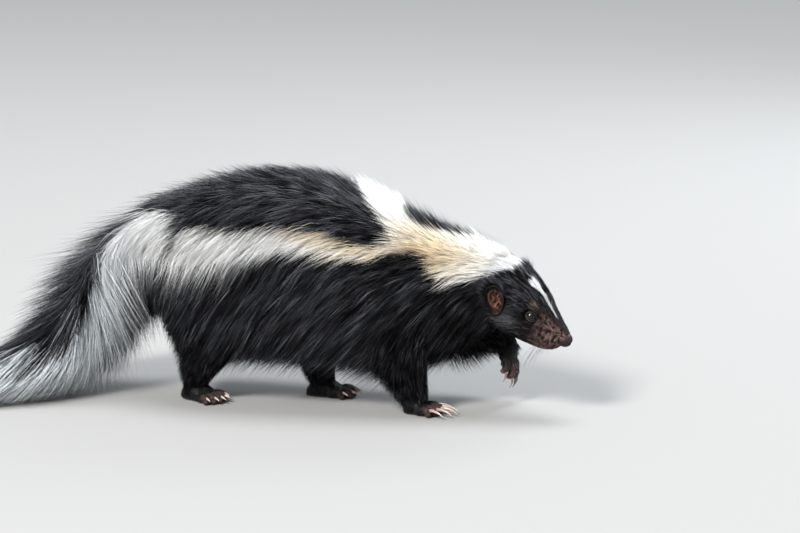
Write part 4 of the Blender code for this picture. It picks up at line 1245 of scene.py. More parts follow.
def falling(spine, along, angle, slope, length, t):
    """The angles of strands that fall towards the belly at a true slope, at each of their points."""
    angles = [angle]
    small = 0.05
    for k in range(1, len(t)):
        here, turn = along[:, k - 1], angles[-1]
        across = spine.point(here, turn + small, 0.7) - spine.point(here, turn - small, 0.7)
        reach = np.linalg.norm(across, axis=1) / (2 * small)
        steep = slope * (0.75 + 0.5 * t[k])
        angles.append(turn + steep * length * (t[k] - t[k - 1]) * signed_power(np.sin(turn), 1.4) / reach)
    return np.stack(angles, 1)


def tail_mix(along, angle):
    """The share of white hairs on the tail beyond the white bands."""
    turn = np.degrees(np.abs(wrapped(angle)))
    return read_table(TAIL_MIX, along) * np.interp(turn, TAIL_TOP, (0.12, 1.0))


def spine_lift(along, on_top, tail, chance):
    """The share of the coat's depth that each strand's tip reaches."""
    count = len(along)
    upper = chance.random(count) < TOP_CHANCE
    lift = np.where(upper, chance.uniform(*TOP_LIFT, count), chance.uniform(*LOW_LIFT, count))
    stray = chance.random(count) < STRAY_CHANCE * (1 - tail)
    lift = np.where(stray, chance.uniform(*STRAY_LIFT, count), lift)
    raised = TAIL_RAISED * tail + RUMP_RAISED * bump_of(along, *RUMP)
    return lift * (1 + (raised - END_FLATTENED * ramp(along, *FLAT_ONSET)) * on_top)


def spine_lines(spine, along, angle, length, lift, slope, gather, sag, steps):
    """The points of strands, and the place in the markings at which each one's colour is read."""
    t = np.array(steps)[None]
    s = along[:, None] + length[:, None] * t
    a = falling(spine, s, angle, slope, length, steps)
    seen = along + SEEN_ALONG * length, np.array([np.interp(SEEN_STEP, steps, row) for row in a])
    s = np.minimum(s + gather[0][:, None] * t**GATHER_POWER, spine.knots[-1] + END_OVERRUN)
    a = a + gather[1][:, None] * t**GATHER_POWER
    root = ROOT_SHARE - TAIL_ROOT_LOWER * ramp(along, *TAIL_ONSET)
    lines = spine.point(s, a, root[:, None] + (lift - root)[:, None] * t**LIFT_POWER)
    lines[..., 2] -= (length * sag)[:, None] * t**2
    lines = above_floor(lines)
    lines[..., 2] = np.minimum(lines[..., 2], CREST + CREST_KEPT * (lines[..., 2] - CREST))
    return lines, seen


def spine_white(along, angle, radius, seen, wisp_shade, lock_shade, chance):
    """Which strands are white. On the tail both colours are mixed and run in streams."""
    low_tail = ramp(along, *MIX_ONSET)
    slant = STREAM_SLANT * (along - MIX_ONSET[0])
    flowing = np.abs(wrapped(angle)) - slant + math.pi * (wrapped(angle) < 0)
    _, _, stream_shade, _ = clumped(along, flowing, radius, *STREAM, chance)
    own, of_wisp, of_lock = MIX_PARTS
    mixed = own * chance.random(len(along)) + of_wisp * wisp_shade + of_lock * lock_shade
    mixed = mixed + STREAM_PART * low_tail * (stream_shade - mixed)
    banded = body_white(*seen)
    in_band = mixed > BAND_BLACK[0] + BAND_BLACK[1] * low_tail
    white = np.where(banded, in_band, mixed > 1 - tail_mix(*seen))
    return np.where(low_tail > 0, white, banded)


def make_spine_coat(spine, looks, name, span, steps, seed):
    """The coat of a length of the spine, each strand bent at these steps of its length."""
    chance = np.random.default_rng(seed)
    along, angle = spine_roots(spine, span, chance)
    count = len(along)
    on_top, under = np.clip(np.cos(angle), 0, 1), (1 - np.cos(angle)) / 2
    tail, chest = ramp(along, *TAIL_ONSET), bump_of(along, *CHEST) * under**2
    length = read_table(COAT, along) * chance.uniform(*LENGTH_RANGE, count)
    length *= (1 - BACK_SHORTER * on_top * (along < TAIL_START)) * (1 + CHEST_LONGER * chest)
    half = read_table(COAT, along, 2) * chance.uniform(*HALF_RANGE, count)
    row, _ = spine.read(along)
    radius = (row[:, 3] + row[:, 4]) / 2 + 0.5 * row[:, 6]
    wisp_s, wisp_a, wisp_shade, wisp_tilt = clumped(along, angle, radius, *WISP, chance)
    lock_s, lock_a, lock_shade, lock_tilt = clumped(along, angle, radius, *LOCK, chance)
    slope = read_table(FALL, along) + LOCK_SLOPE * (wisp_tilt + lock_tilt - 1)
    slope = slope + chance.normal(0, OWN_SLOPE, count)
    lift = spine_lift(along, on_top, tail, chance)
    pull = chance.uniform(*WISP_PULL, count)
    draw = chance.uniform(*LOCK_PULL, count) + TAIL_PULL * tail
    gather_s = pull * (wisp_s - along) + draw * (lock_s - wisp_s)
    gather_a = pull * (wisp_a - angle) + draw * (lock_a - wisp_a)
    sag = tail * (SAG_ABOVE + SAG_BELOW * under) * read_table(TAIL_SAG, along) + CHEST_SAG * chest
    lines, (seen_s, seen_a) = spine_lines(
        spine, along, angle, length, lift, slope, (gather_s, gather_a), sag, steps
    )
    outward = unit(spine.point(along, angle, 1.0) - spine.point(along, angle, 0.2))
    seen = tuple(
        place + chance.normal(0, spread, count) for place, spread in zip((seen_s, seen_a), SEEN_SPREAD)
    )
    white = spine_white(along, angle, radius, seen, wisp_shade, lock_shade, chance)
    tips_white, roots_white = white_colour(*seen, chance)
    # Painted shade: the white of duller wisps is darkened, more on the tail
    deep = (WHITE_WISP_SHADE + TAIL_WISP_SHADE * tail) * (1 - wisp_shade) ** DEEP_POWER
    of_lock = [1 - amount * (1 - lock_shade) for amount in LOCK_SHADES]
    shade = (chance.uniform(*WHITE_RANGE, count) * (1 - deep) * of_lock[0])[:, None]
    # How much painted glint each black strand shows
    grey = (WISP_GLINT * wisp_shade + (1 - WISP_GLINT) * chance.random(count)) * of_lock[1]
    tips_black = black_colour(count, chance, grey * read_table(NECK_GLINT, along))
    # Painted shade on the tail's white roots
    root_shade = (1 - TAIL_ROOT_SHADE * tail)[:, None]
    uv = np.stack([0.02 + 0.94 * (along + 0.01) / 0.62, 0.50 + 0.47 * turn_share(angle)], 1)
    tints = (tips_white * shade, roots_white * shade * root_shade), (tips_black, tips_black * BLACK_ROOT)
    return two_colours(name, looks, (white, ~white), (lines, outward, half, uv), tints)


def turn_share(angle):
    return angle / (2 * math.pi) + 0.5


def stand_off(length, rise, bend, t):
    """How far short strands stand off the skin at each of their points."""
    return (length * rise)[:, None] * (t - bend * t**2) + SWELL * np.sqrt(t) - SUNK


def straight_lines(roots, normal, flow, length, rise, t):
    """Strands that leave the skin along flow, stand off it by rise and bend back towards it."""
    height = stand_off(length, rise, 0.6, t)
    along = flow[:, None] * (length[:, None] * t)[..., None]
    return roots[:, None] + along + normal[:, None] * height[..., None]


def short_strands(name, looks, roots, normal, flow, length, half, rise, tips, root_share, uv, rings):
    """Short black strands that keep above the floor."""
    lines = straight_lines(roots, normal, flow, length, rise, np.linspace(0, 1, rings + 1))
    lines[..., 2] = np.maximum(lines[..., 2], SHORT_CLEAR)
    return strands(name, "black", looks, lines, normal, half, tips, tips * root_share, uv)


def on_head_surface(back, angle, flow, length, rise, t):
    """Short strands that keep to the head's curve as they run along flow."""
    small, turn = 0.001, 0.03
    along = (head_surface(back + small, angle) - head_surface(back - small, angle)) / (2 * small)
    around = (head_surface(back, angle + turn) - head_surface(back, angle - turn)) / (2 * turn)
    aa, ar, rr = (np.sum(p * q, 1) for p, q in ((along, along), (along, around), (around, around)))
    fa, fr = np.sum(flow * along, 1), np.sum(flow * around, 1)
    whole = aa * rr - ar * ar
    step_back = (rr * fa - ar * fr) / whole
    step_turn = np.clip((aa * fr - ar * fa) / whole, -90, 90)
    run = length[:, None] * t
    places_back = np.clip(back[:, None] + step_back[:, None] * run, HEAD[0][0], HEAD[-1][0])
    places_turn = angle[:, None] + step_turn[:, None] * run
    base = head_surface(places_back, places_turn)
    out = unit(head_surface(places_back, places_turn, 0.002) - base)
    return base + out * stand_off(length, rise, 0.45, t)[..., None]


def head_haired(roots):
    """Which places on the head aren't bare lids, lips or the inside of an ear."""
    keep = mouth_distance(roots) > BARE_LIPS
    for side in SIDES:
        _, _, w, round_eye = from_eye(roots, side)
        keep &= ~((round_eye < BARE_LIDS) & (w > 0))
        away = roots - np.array(on_head(*EAR_PLACE, side))
        opening, onward, up = arrays(ear_axes(side))
        round_ear = np.sqrt(((away @ onward - 0.002) / BARE_EAR[0]) ** 2 + (away @ up / BARE_EAR[1]) ** 2)
        keep &= ~((round_ear < 1.0) & (away @ opening > -0.016))
    return keep


def head_flow(b, a, roots, normal, tilt, chance):
    """Which way the head's hair lies: back from the nose, down on the sides, parted by its wisps."""
    turn_back = ramp(b, 0.070, 0.025)[:, None] * 0.7
    flow = unit(head_surface(b + 0.002, a) - roots) * (1 - turn_back) + np.array(HEAD_REARWARD) * turn_back
    hang = np.clip(np.sin(np.abs(a)), 0, 1) * read_table(HEAD_HANG, b)
    aside = np.cross(normal, flow) * (0.55 * (tilt - 0.5))[:, None]
    flow = flow + np.array(DOWN) * hang[:, None] + aside + chance.normal(0, 0.07, (len(b), 3))
    return unit(flow - normal * np.sum(flow * normal, 1, keepdims=True) * 0.8)


def make_head_coat(looks):
    """Short hair on the face that lengthens towards the cheeks, crown and throat."""
    chance = np.random.default_rng(SEED + 3)
    back, turns = np.linspace(*HEAD_HAIR, 140), np.linspace(-math.pi, math.pi, 161)
    density = read_table(HEAD_DENSITY, back[:-1, None]) * TO_M2
    b, a = scattered(head_surface, back, turns, density, chance)
    a = wrapped(a)
    roots = head_surface(b, a)
    keep = head_haired(roots)
    b, a, roots = b[keep], a[keep], roots[keep]
    count, turn = len(b), np.abs(a)
    normal = unit(head_surface(b, a, 0.002) - roots)
    _, _, shade, tilt = clumped(b, a, np.full(count, HEAD_RADIUS), *HEAD_WISP, chance)
    flow = head_flow(b, a, roots, normal, tilt, chance)
    length, half, rise = (
        read_table(table, b) * chance.uniform(*limits, count)
        for table, limits in zip((HEAD_LENGTH, HEAD_HALF, HEAD_RISE), HEAD_RANGES)
    )
    length = length * (1 + THROAT_LONGER * np.clip(-np.cos(a), 0, 1) * ramp(b, 0.03, 0.03))
    rise = rise * (1 - 0.4 * np.clip(np.cos(a), 0, 1))
    seen = b + 0.75 * length + chance.normal(0, HEAD_RAGGED[0], count)
    white = head_white(seen, a, head_outline(b, a)[0] + chance.normal(0, HEAD_RAGGED[1], count))
    bright = chance.uniform(*HEAD_BRIGHT, count) * (0.55 + 0.45 * shade) * read_table(HEAD_WHITE, b)
    tips_white = np.array(WHITE) * bright[:, None]
    tips_black = black_colour(count, chance, (0.7 * shade + 0.3 * chance.random(count)) * 0.80)
    tips_black = blend(tips_black, MUZZLE_HAIR, ramp(b, 0.045, -0.02) * ramp(turn, 0.4, 0.5) * 0.85)
    tips_black = blend(tips_black, SPOT_HAIR, patch(b, turn, *EYE_SPOT) * chance.uniform(0.3, 1.0, count))
    # Paler grey hair on the cheek: a painted glint
    tips_black = blend(tips_black, CHEEK_GLINT_HAIR, patch(b, turn, *CHEEK_GLINT_PATCH) * chance.uniform(0.0, 0.9, count))
    bare = (b < 0.032) & (turn > 0.6) & (chance.random(count) < BARE_MUZZLE)
    t = np.array(HEAD_STEPS)
    close = on_head_surface(b, a, flow, length, rise, t)
    loose = straight_lines(roots, normal, flow, length, rise, t)
    away = ramp(b, 0.072, 0.014)[:, None, None]
    lines = close * (1 - away) + loose * away
    tints = (tips_white, tips_white * WHITE_BASE), (tips_black, tips_black * BLACK_BASE)
    hair = (lines, normal, half, head_map(b, a))
    return two_colours("face", looks, (white, ~white & ~bare), hair, tints)


def head_map(back, angle):
    return np.stack([0.02 + 0.44 * back / 0.105, 0.02 + 0.42 * turn_share(angle)], 1)


def make_leg_coat(looks):
    """Black hair of the legs, shorter and closer towards the feet."""
    chance = np.random.default_rng(SEED + 4)
    made = []
    for n, (name, _, joints, _, _, pitch, *_) in enumerate(LEGS):
        form, raised = leg_form(joints), pitch > 0
        end = form.knots[-1]
        along, turns = np.linspace(end * LEG_HAIR_START, end + 0.004, 80), np.linspace(-math.pi, math.pi, 61)
        density = read_table(LEG_DENSITY, along[:-1, None] / end) * TO_M2
        s, a = scattered(lambda x, y: form.point(x, y, 0.0), along, turns, density, chance)
        outer = form.point(s, a, 0.0)
        row, onward = form.read(s)
        normal = unit(outer - row[:, :3])
        roots = row[:, :3] + (outer - row[:, :3]) * LEG_INSET
        count, share = len(s), s / end
        rearward = np.array(RAISED_FLOW if raised else LEG_FLOW) * read_table(LEG_LOOSE, share)[:, None]
        _, _, shade, tilt = clumped(s, a, (row[:, 3] + row[:, 4]) / 2, *LEG_WISP, chance)
        aside = np.cross(normal, onward) * (0.5 * (tilt - 0.5))[:, None]
        flow = unit(onward + rearward + aside + chance.normal(0, 0.08, (count, 3)))
        length = read_table(LEG_LENGTH, share) * chance.uniform(*LEG_RANGES[0], count)
        length = length * (1 + RAISED_LONGER * np.clip(-normal[:, 2], 0, 1) * raised)
        half = read_table(LEG_HALF, share) * chance.uniform(*LEG_RANGES[1], count)
        rise = chance.uniform(*LEG_RISE, count)
        tips = black_colour(count, chance, (0.5 * shade + 0.5 * chance.random(count)) * 0.72)
        uv = np.stack([0.50 + n * 0.12 + 0.10 * turn_share(a), 0.02 + 0.42 * share], 1)
        made += short_strands(
            "coat_" + name, looks, roots, normal, flow, length, half, rise, tips, SHORT_ROOT, uv, 2
        )
    return made


# Eyes, nose, ears


def ball_grid(segments, rings):
    """Places of a unit ball, ring after ring along its first axis."""
    polar = np.linspace(0, math.pi, rings + 2)[1:-1]
    p, q = np.meshgrid(polar, circle(segments), indexing="ij")
    return np.stack([np.cos(p), np.sin(p) * np.cos(q), np.sin(p) * np.sin(q)], -1).reshape(-1, 3)


def ball(name, centre, axes, sizes, segments, rings, look, tint_of=None):
    """A ball stretched along three axes, coloured by its own unit place."""
    places = np.concatenate([ball_grid(segments, rings), [[1.0, 0, 0], [-1.0, 0, 0]]])
    world = np.array(centre) + (places * np.array(sizes)) @ np.array(arrays(axes))
    sections = world[:-2].reshape(rings, segments, 3)
    tint = tint_of(places) if tint_of else None
    return tube_object(name, sections, world[-2], world[-1], look, tint)


def eye_tint(places):
    """Black pupil in a very dark brown iris."""
    off_axis = np.arccos(np.clip(places[:, 0], -1, 1))
    return blend(PUPIL, IRIS, ramp(off_axis, 0.30, 0.08) * ramp(off_axis, 0.75, -0.10))


def lid_rim(side, look):
    """Both lids' edges as one almond-shaped ring that lies on the eyeball."""
    look_out, level, upright = arrays(eye_axes(side))
    centre = np.array(eye_centre(side))
    count, around = 72, 10
    turn, section = circle(count), circle(around)
    point = 1 + 0.10 * np.abs(np.cos(turn)) ** 6
    flat = level * (LID_LONG * np.cos(turn) * point)[:, None] + upright * (LID_HIGH * np.sin(turn))[:, None]
    depth = np.sqrt(np.maximum((EYE_RADIUS + RIM_LIFT) ** 2 - np.sum(flat**2, 1), 0))
    middle = centre + flat + look_out * depth[:, None]
    out = unit(middle - centre)
    away = unit(flat)
    across = unit(away - out * np.sum(away * out, 1, keepdims=True))
    thick = RIM_HALF + RIM_UPPER * np.clip(np.sin(turn), 0, 1)
    ring = middle[:, None] + thick[:, None, None] * (
        across[:, None] * (np.cos(section) * 1.3)[:, None] + out[:, None] * np.sin(section)[:, None]
    )
    i, j = np.meshgrid(np.arange(count), np.arange(around), indexing="ij")
    i2, j2 = (i + 1) % count, (j + 1) % around
    faces = np.stack([i * around + j, i2 * around + j, i2 * around + j2, i * around + j2], -1)
    made = mesh_from_arrays(f"lids_{side_name(side)}", ring.reshape(-1, 3), faces, [], look, LID_EDGE)
    face_outwards(made)
    return made


def side_name(side):
    return "right" if side == 1 else "left"


def spaced(rows, count):
    """Even steps along a line of straight pieces, and the places there."""
    rows = np.array(rows)
    t = np.linspace(0, len(rows) - 1, count)
    return t, np.stack([np.interp(t, np.arange(len(rows)), column) for column in rows.T], 1)


def nostrils(places):
    """How deep and how dark the nostrils make places on the nose."""
    depth, dark = np.zeros(len(places)), np.zeros(len(places))
    for side in SIDES:
        t, path = spaced([list(on_head(*place, side)) for place in NOSTRIL], 40)
        for place, reach in zip(path, read_table(NOSTRIL_REACH, t)):
            near = bump_of(np.linalg.norm(places - place, axis=1), 0, reach)
            depth = np.maximum(depth, near * NOSTRIL_DEPTH * (reach / NOSTRIL_REACH[0][1]))
            dark = np.maximum(dark, near)
    return depth, dark


def make_nose(look):
    """The nose pad with two comma-shaped nostrils and the groove between them."""
    rings, segments = 90, 120
    local = ball_grid(segments, rings)
    forward, right, up = arrays(head_axes())
    centre = np.array(on_head(*NOSE_PLACE))
    places = centre + (local * np.array(NOSE_SIZE) * NOSE_SWELL) @ np.stack([forward, right, up])
    inward = unit(centre - places)
    depth, dark = nostrils(places)
    groove = NOSE_GROOVE[1] * bump_of((places - centre) @ right, 0, NOSE_GROOVE[0]) * (local[:, 0] > 0.1)
    places = places + inward * (depth + groove)[:, None]
    # Lighter towards the top: a painted sheen
    tint = blend(NOSE_LOW, NOSE_TOP_SHEEN, np.clip(local[:, 2] * 0.8 + 0.2, 0, 1))
    tint = with_ends(blend(tint, NOSTRIL_SKIN, np.clip(dark * 1.3, 0, 1)))
    ahead = forward * NOSE_SIZE[0] * NOSE_SWELL
    sections = places.reshape(rings, segments, 3)
    return tube_object("nose_pad", sections, centre + ahead, centre - ahead, look, tint)


def ear_outline(turn, r):
    """Places forwards and up in an ear, at an angle round it and a share of the way to its rim."""
    wide = np.sin(turn) * EAR_SIZE[1] * r * (1 + EAR_WIDER * np.cos(turn))
    return wide, np.cos(turn) * EAR_SIZE[2] * r


def in_ear(side, forwards, upwards, outwards):
    opening, onward, up = arrays(ear_axes(side))
    centre = np.array(on_head(*EAR_PLACE, side)) + opening * EAR_OUT
    place = centre + onward * forwards[..., None] + up * upwards[..., None]
    return place + opening * np.asarray(outwards)[..., None]


def ear_folds(rr, tt, wide, high):
    """How far the folds inside an ear stand out, against their full height."""
    folds = bump_of(rr, 0.60, 0.10) * np.clip(0.35 - 0.9 * np.sin(tt - 0.3), 0, 1)
    for across, level, thick, tall in EAR_FOLDS:
        bend = across + 0.12 * high + 0.0009 * np.sin(high * 900 + across * 2500)
        folds = folds + bump_of(wide, bend, thick) * bump_of(high, level, tall)
    return np.clip(folds, 0, 1.2)


def make_ear(side, look):
    """A thin cup with a rolled rim and folds inside it."""
    rows, columns = 40, 96
    rr, tt = np.meshgrid(np.linspace(0.03, 1.0, rows), circle(columns), indexing="ij")
    wide, high = ear_outline(tt, rr)
    cup = -0.0050 * (1 - rr**2.6) + 0.0032
    folds = ear_folds(rr, tt, wide, high)
    inner = cup + 0.0030 * folds + 0.0010 * bump_of(rr, 0.95, 0.06)
    front = in_ear(side, wide, high, inner)
    behind = in_ear(side, wide * EAR_SHELL, high * EAR_SHELL, cup - 0.0014 - 0.0040 * (1 - rr**2))
    # Painted shadow inside the cup, deepening towards its back and top
    rear = np.clip(0.10 + 0.9 * rr * (0.5 * np.cos(tt) - 0.8 * np.sin(tt)), 0, 1)
    rim = ramp(rr, 0.66, 0.18) * np.clip(0.70 - 0.8 * np.sin(tt) + 0.3 * np.cos(tt), 0.35, 1)
    top = ramp(rr * np.cos(tt), 0.30, 0.35)
    # The folds lit in the ear's skin colour, the hollows between them in painted shade
    lit = blend(EAR_HOLLOW_SHADE, EAR_SKIN, np.clip(0.08 + 0.92 * folds**1.3, 0, 1))
    for colour, amount in ((EAR_REAR_SHADOW, rear * 0.85), (FACE_SKIN, rim * 0.97), (FACE_SKIN, top * 0.85)):
        lit = blend(lit, colour, amount)
    lit = lit.reshape(-1, 3)
    back_tint = np.tile(FACE_SKIN, (rows * columns, 1))
    tint = np.concatenate([lit, back_tint, lit[:1], back_tint[:1]])
    sections = np.concatenate([front, behind[::-1]])
    start, end = front[0].mean(0), behind[0].mean(0)
    return tube_object(f"ear_cup_{side_name(side)}", sections, start, end, look, tint)


def make_ear_coat(side, looks):
    """Black fur round the ear's rim and over its back, and thin hairs inside."""
    chance = np.random.default_rng(SEED + 5 + side)
    opening, onward, up = arrays(ear_axes(side))
    count = EAR_HAIRS
    turn = chance.uniform(0, 2 * math.pi, count)
    r = 1.0 - 0.16 * chance.random(count) ** 2
    outer = unit(onward * np.sin(turn)[:, None] + up * np.cos(turn)[:, None])
    roots = in_ear(side, *ear_outline(turn, r), 0.0018 - 0.0050 * (1 - r**2))
    flow = outer * 0.45 + up * 0.40 - onward * 0.65 - opening * 0.10
    flow = unit(flow + chance.normal(0, 0.18, (count, 3)))
    normal = unit(outer + opening * 0.4)
    length = chance.uniform(*EAR_HAIR[0], count) * (1 + 0.8 * np.clip(np.cos(turn), 0, 1))
    half = chance.uniform(*EAR_HAIR[1], count)
    tips = black_colour(count, chance, chance.random(count) * 0.8)
    uv = np.stack([0.02 + 0.02 * r, 0.46 + 0.003 * turn], 1)
    rise = chance.uniform(*EAR_HAIR[2], count)
    fur = short_strands(
        "ear_fur_" + side_name(side), looks, roots, normal, flow, length, half, rise, tips, SHORT_ROOT, uv, 1
    )
    return fur + make_ear_down(side, looks, chance)


def make_ear_down(side, looks, chance):
    opening, onward, up = arrays(ear_axes(side))
    count = EAR_DOWN_HAIRS
    high = chance.uniform(*DOWN_HIGH, count)
    wide = chance.uniform(*DOWN_WIDE, count)
    roots = in_ear(side, wide, high, -0.0010)
    flow = unit(opening * 0.7 + up * 0.5 - onward * 0.2 + chance.normal(0, 0.25, (count, 3)))
    normal = np.tile(opening, (count, 1))
    length = chance.uniform(*DOWN_LENGTH, count)
    half, rise = np.full(count, THIN_HALF), np.full(count, 0.1)
    tips = np.tile(EAR_DOWN, (count, 1))
    uv = np.stack([0.06 + 0.5 * wide, 0.47 + 0.5 * high], 1)
    return short_strands(
        "ear_down_" + side_name(side), looks, roots, normal, flow, length, half, rise, tips, 0.5, uv, 1
    )


def make_whiskers(looks):
    """A few long hairs on the lips, the cheeks and over the eyes."""
    chance = np.random.default_rng(SEED + 9)
    rows = []
    for side in SIDES:
        for back, angle, length, count in WHISKERS:
            for _ in range(count):
                place = back + chance.normal(0, 0.0022)
                turn = side * (angle + chance.normal(0, 0.10))
                rows.append((place, turn, length * chance.uniform(0.65, 1.1)))
    back, angle, length = np.array(rows).T
    roots = head_surface(back, angle)
    normal = unit(head_surface(back, angle, 0.002) - roots)
    rear = unit(head_surface(back + 0.003, angle) - roots)
    down = np.array(DOWN)
    flow = unit(rear * 0.55 + normal * 0.55 + down * 0.55 + chance.normal(0, 0.12, (len(back), 3)))
    t = np.linspace(0, 1, 6)
    lines = roots[:, None] + flow[:, None] * (length[:, None] * t)[..., None]
    lines = lines + down * (length[:, None] * 0.35 * t**2)[..., None]
    tint = np.tile(WHISKER_HAIR, (len(back), 1))
    half = np.full(len(back), THIN_HALF)
    return strands("whiskers", "black", looks, lines, normal, half, tint, tint, head_map(back, angle), 1.0)


# Feet


def foot_matrix(joints, heading, pitch):
    """The foot's own frame: forwards, to the animal's left and up, from the leg's last joint."""
    turn = Matrix.Rotation(heading, 4, "Z") @ Matrix.Rotation(pitch, 4, "Y")
    return Matrix.Translation(Vector(joints[-1][:3])) @ turn


def chain(start, out, angles, lengths):
    points = [start]
    for angle, length in zip(angles, lengths):
        points.append(points[-1] + (out * math.cos(angle) + Vector((0, 0, math.sin(angle)))) * length)
    return points


def smooth_path(points, count):
    """Points along a smooth curve through a few."""
    points = np.array([list(p) for p in points])
    t = np.arange(len(points), dtype=float)
    rows = np.concatenate([t[:, None], points], 1)
    return eased_table(rows, np.linspace(0, len(points) - 1, count))


def round_tube(name, path, radii, sides, look, tint, flat):
    """A tube with a rounded start that narrows to its last point."""
    ahead = unit(np.gradient(path, axis=0))
    side = np.cross(ahead, (0.0, 0.0, 1.0))
    side[np.linalg.norm(side, axis=1) < 1e-4] = (0, 1, 0)
    side = unit(side)
    up = np.cross(side, ahead)
    turn = circle(sides)
    ring = path[:, None] + radii[:, None, None] * (
        side[:, None] * np.cos(turn)[:, None] * flat + up[:, None] * np.sin(turn)[:, None]
    )
    start = path[0] - ahead[0] * radii[0] * 0.6
    end = path[-1] + ahead[-1] * radii[-1] * 0.8
    return tube_object(name, ring, start, end, look, tint)


def toe_lines(place, size, drop, curl, first):
    """The joints of one toe and of its claw in the foot's frame, as in the solids."""
    sole, width, _, toe, claw = size
    spread = place * TOE_SPREAD
    out = Vector((math.cos(spread), math.sin(spread), 0))
    back = sole * BALL - 0.20 * width * place**2 - (0.12 * width if first else 0)
    root = Vector((back, place * width * 0.40, TOE_RADIUS - drop))
    tilts = [0.30 - 0.4 * curl, -0.25 - 0.8 * curl]
    toe_points = chain(root - out * toe * 0.3, out, tilts, (toe * 0.75, toe * 0.55))
    start = toe_points[-1] - out * 0.003 + Vector((0, 0, 0.0010))
    tilts = [0.12 - curl, -0.18 - 1.3 * curl, -0.50 - 1.6 * curl]
    claw_points = chain(start, out, tilts, [claw * step for step in (0.45, 0.40, 0.35)])
    toe_points.append(toe_points[-1] + (toe_points[-1] - toe_points[-2]).normalized() * 0.0016)
    return toe_points, claw_points


def foot_pad(frame, size, drop, look):
    """A foot from its heel to the roots of its toes."""
    sole, width, height, *_ = size
    places = np.linspace(FOOT_PROFILE[0][0], FOOT_PROFILE[-1][0], 26)
    sections = []
    for x, (wide, high) in zip(places, eased_table(FOOT_PROFILE, places)):
        ring = [
            (x * sole, math.sin(a) * width * 0.47 * wide, -drop + height * high * (0.5 + 0.56 * math.cos(a)))
            for a in circle(40)
        ]
        sections.append([list(frame @ Vector(place)) for place in ring])
    sections = np.array(sections)
    return tube_object("pad", sections, sections[0].mean(0), sections[-1].mean(0), look, None)


def make_toe(frame, toe_points, look):
    """A toe and the soft bulb under its end."""
    path = smooth_path([frame @ p for p in toe_points], 14)
    radii = TOE_RADIUS * 0.92 * read_table(TOE_TAPER, np.linspace(0, 1, 14))
    toe = round_tube("toe", path, radii, 20, look, None, 0.92)
    under = frame.to_3x3() @ Vector(DOWN)
    return toe, pad_ball(frame @ toe_points[-2] + under * TOE_RADIUS * 0.5, TOE_RADIUS * 0.72, look)


def make_claw(frame, claw_points, bright, look):
    """A claw, dark at its root."""
    rings, sides = 16, 12
    path = smooth_path([frame @ p for p in claw_points], rings)
    t = np.linspace(0, 1, rings)
    shade = blend(CLAW_ROOT, CLAW_TIP, np.clip(t * 1.4, 0, 1)) * bright
    tint = with_ends(np.repeat(shade, sides, axis=0))
    return round_tube("claw", path, CLAW_RADIUS * (1 - t**1.6 * 0.93), sides, look, tint, 0.72)


def foot_colour(local, size, drop, curl):
    """Black above, brown on the toes and paler under the sole."""
    toes = ramp(local[:, 0], size[0] * 0.52, 0.006)
    under = ramp(local[:, 2], -drop + SOLE_SKIN, -0.002)
    return blend(blend(FACE_SKIN, TOE_SKIN, toes), PAD_SKIN, under) * (RAISED_BRIGHT if curl else 1.0)


def make_foot(row, looks):
    """One foot's skin, its five claws and the short fur on top."""
    _, name, joints, size, heading, pitch, curl, inner = row
    sole, width, height, *_ = size
    frame = foot_matrix(joints, heading, pitch)
    drop = height * 0.55 if curl else joints[-1][2]
    pieces, claws = [foot_pad(frame, size, drop, looks["toe"])], []
    for place in np.linspace(-1, 1, TOES):
        toe_points, claw_points = toe_lines(place, size, drop, curl, place * inner > 0.9)
        pieces += make_toe(frame, toe_points, looks["toe"])
        claws.append(make_claw(frame, claw_points, RAISED_CLAW if curl else 1.0, looks["claw"]))
    for y in (-0.6, 0.0, 0.6):
        middle = frame @ Vector((sole * 0.46, y * width * 0.36, -drop + SOLE_SKIN))
        pieces.append(pad_ball(middle, BULB_RADIUS, looks["toe"]))
    skin = fused(pieces, name + "_skin", FOOT_VOXEL, 3)
    points = vertices_of(skin)
    if not curl:
        points[:, 2] = np.maximum(points[:, 2], 0.0)
        set_vertices(skin, points)
    dressed(skin, looks["toe"], foot_colour(in_foot(points, frame), size, drop, curl))
    horn = join_objects(claws, name + "_claws")
    return skin, horn, make_foot_coat(row, frame, drop, skin, looks)


def in_foot(points, frame):
    """Places in the foot's own frame."""
    return (points - np.array(frame.translation)) @ np.array(frame.to_3x3())


def pad_ball(centre, radius, look):
    return ball("bulb", centre, np.eye(3), (radius, radius, radius * 0.8), 16, 10, look)


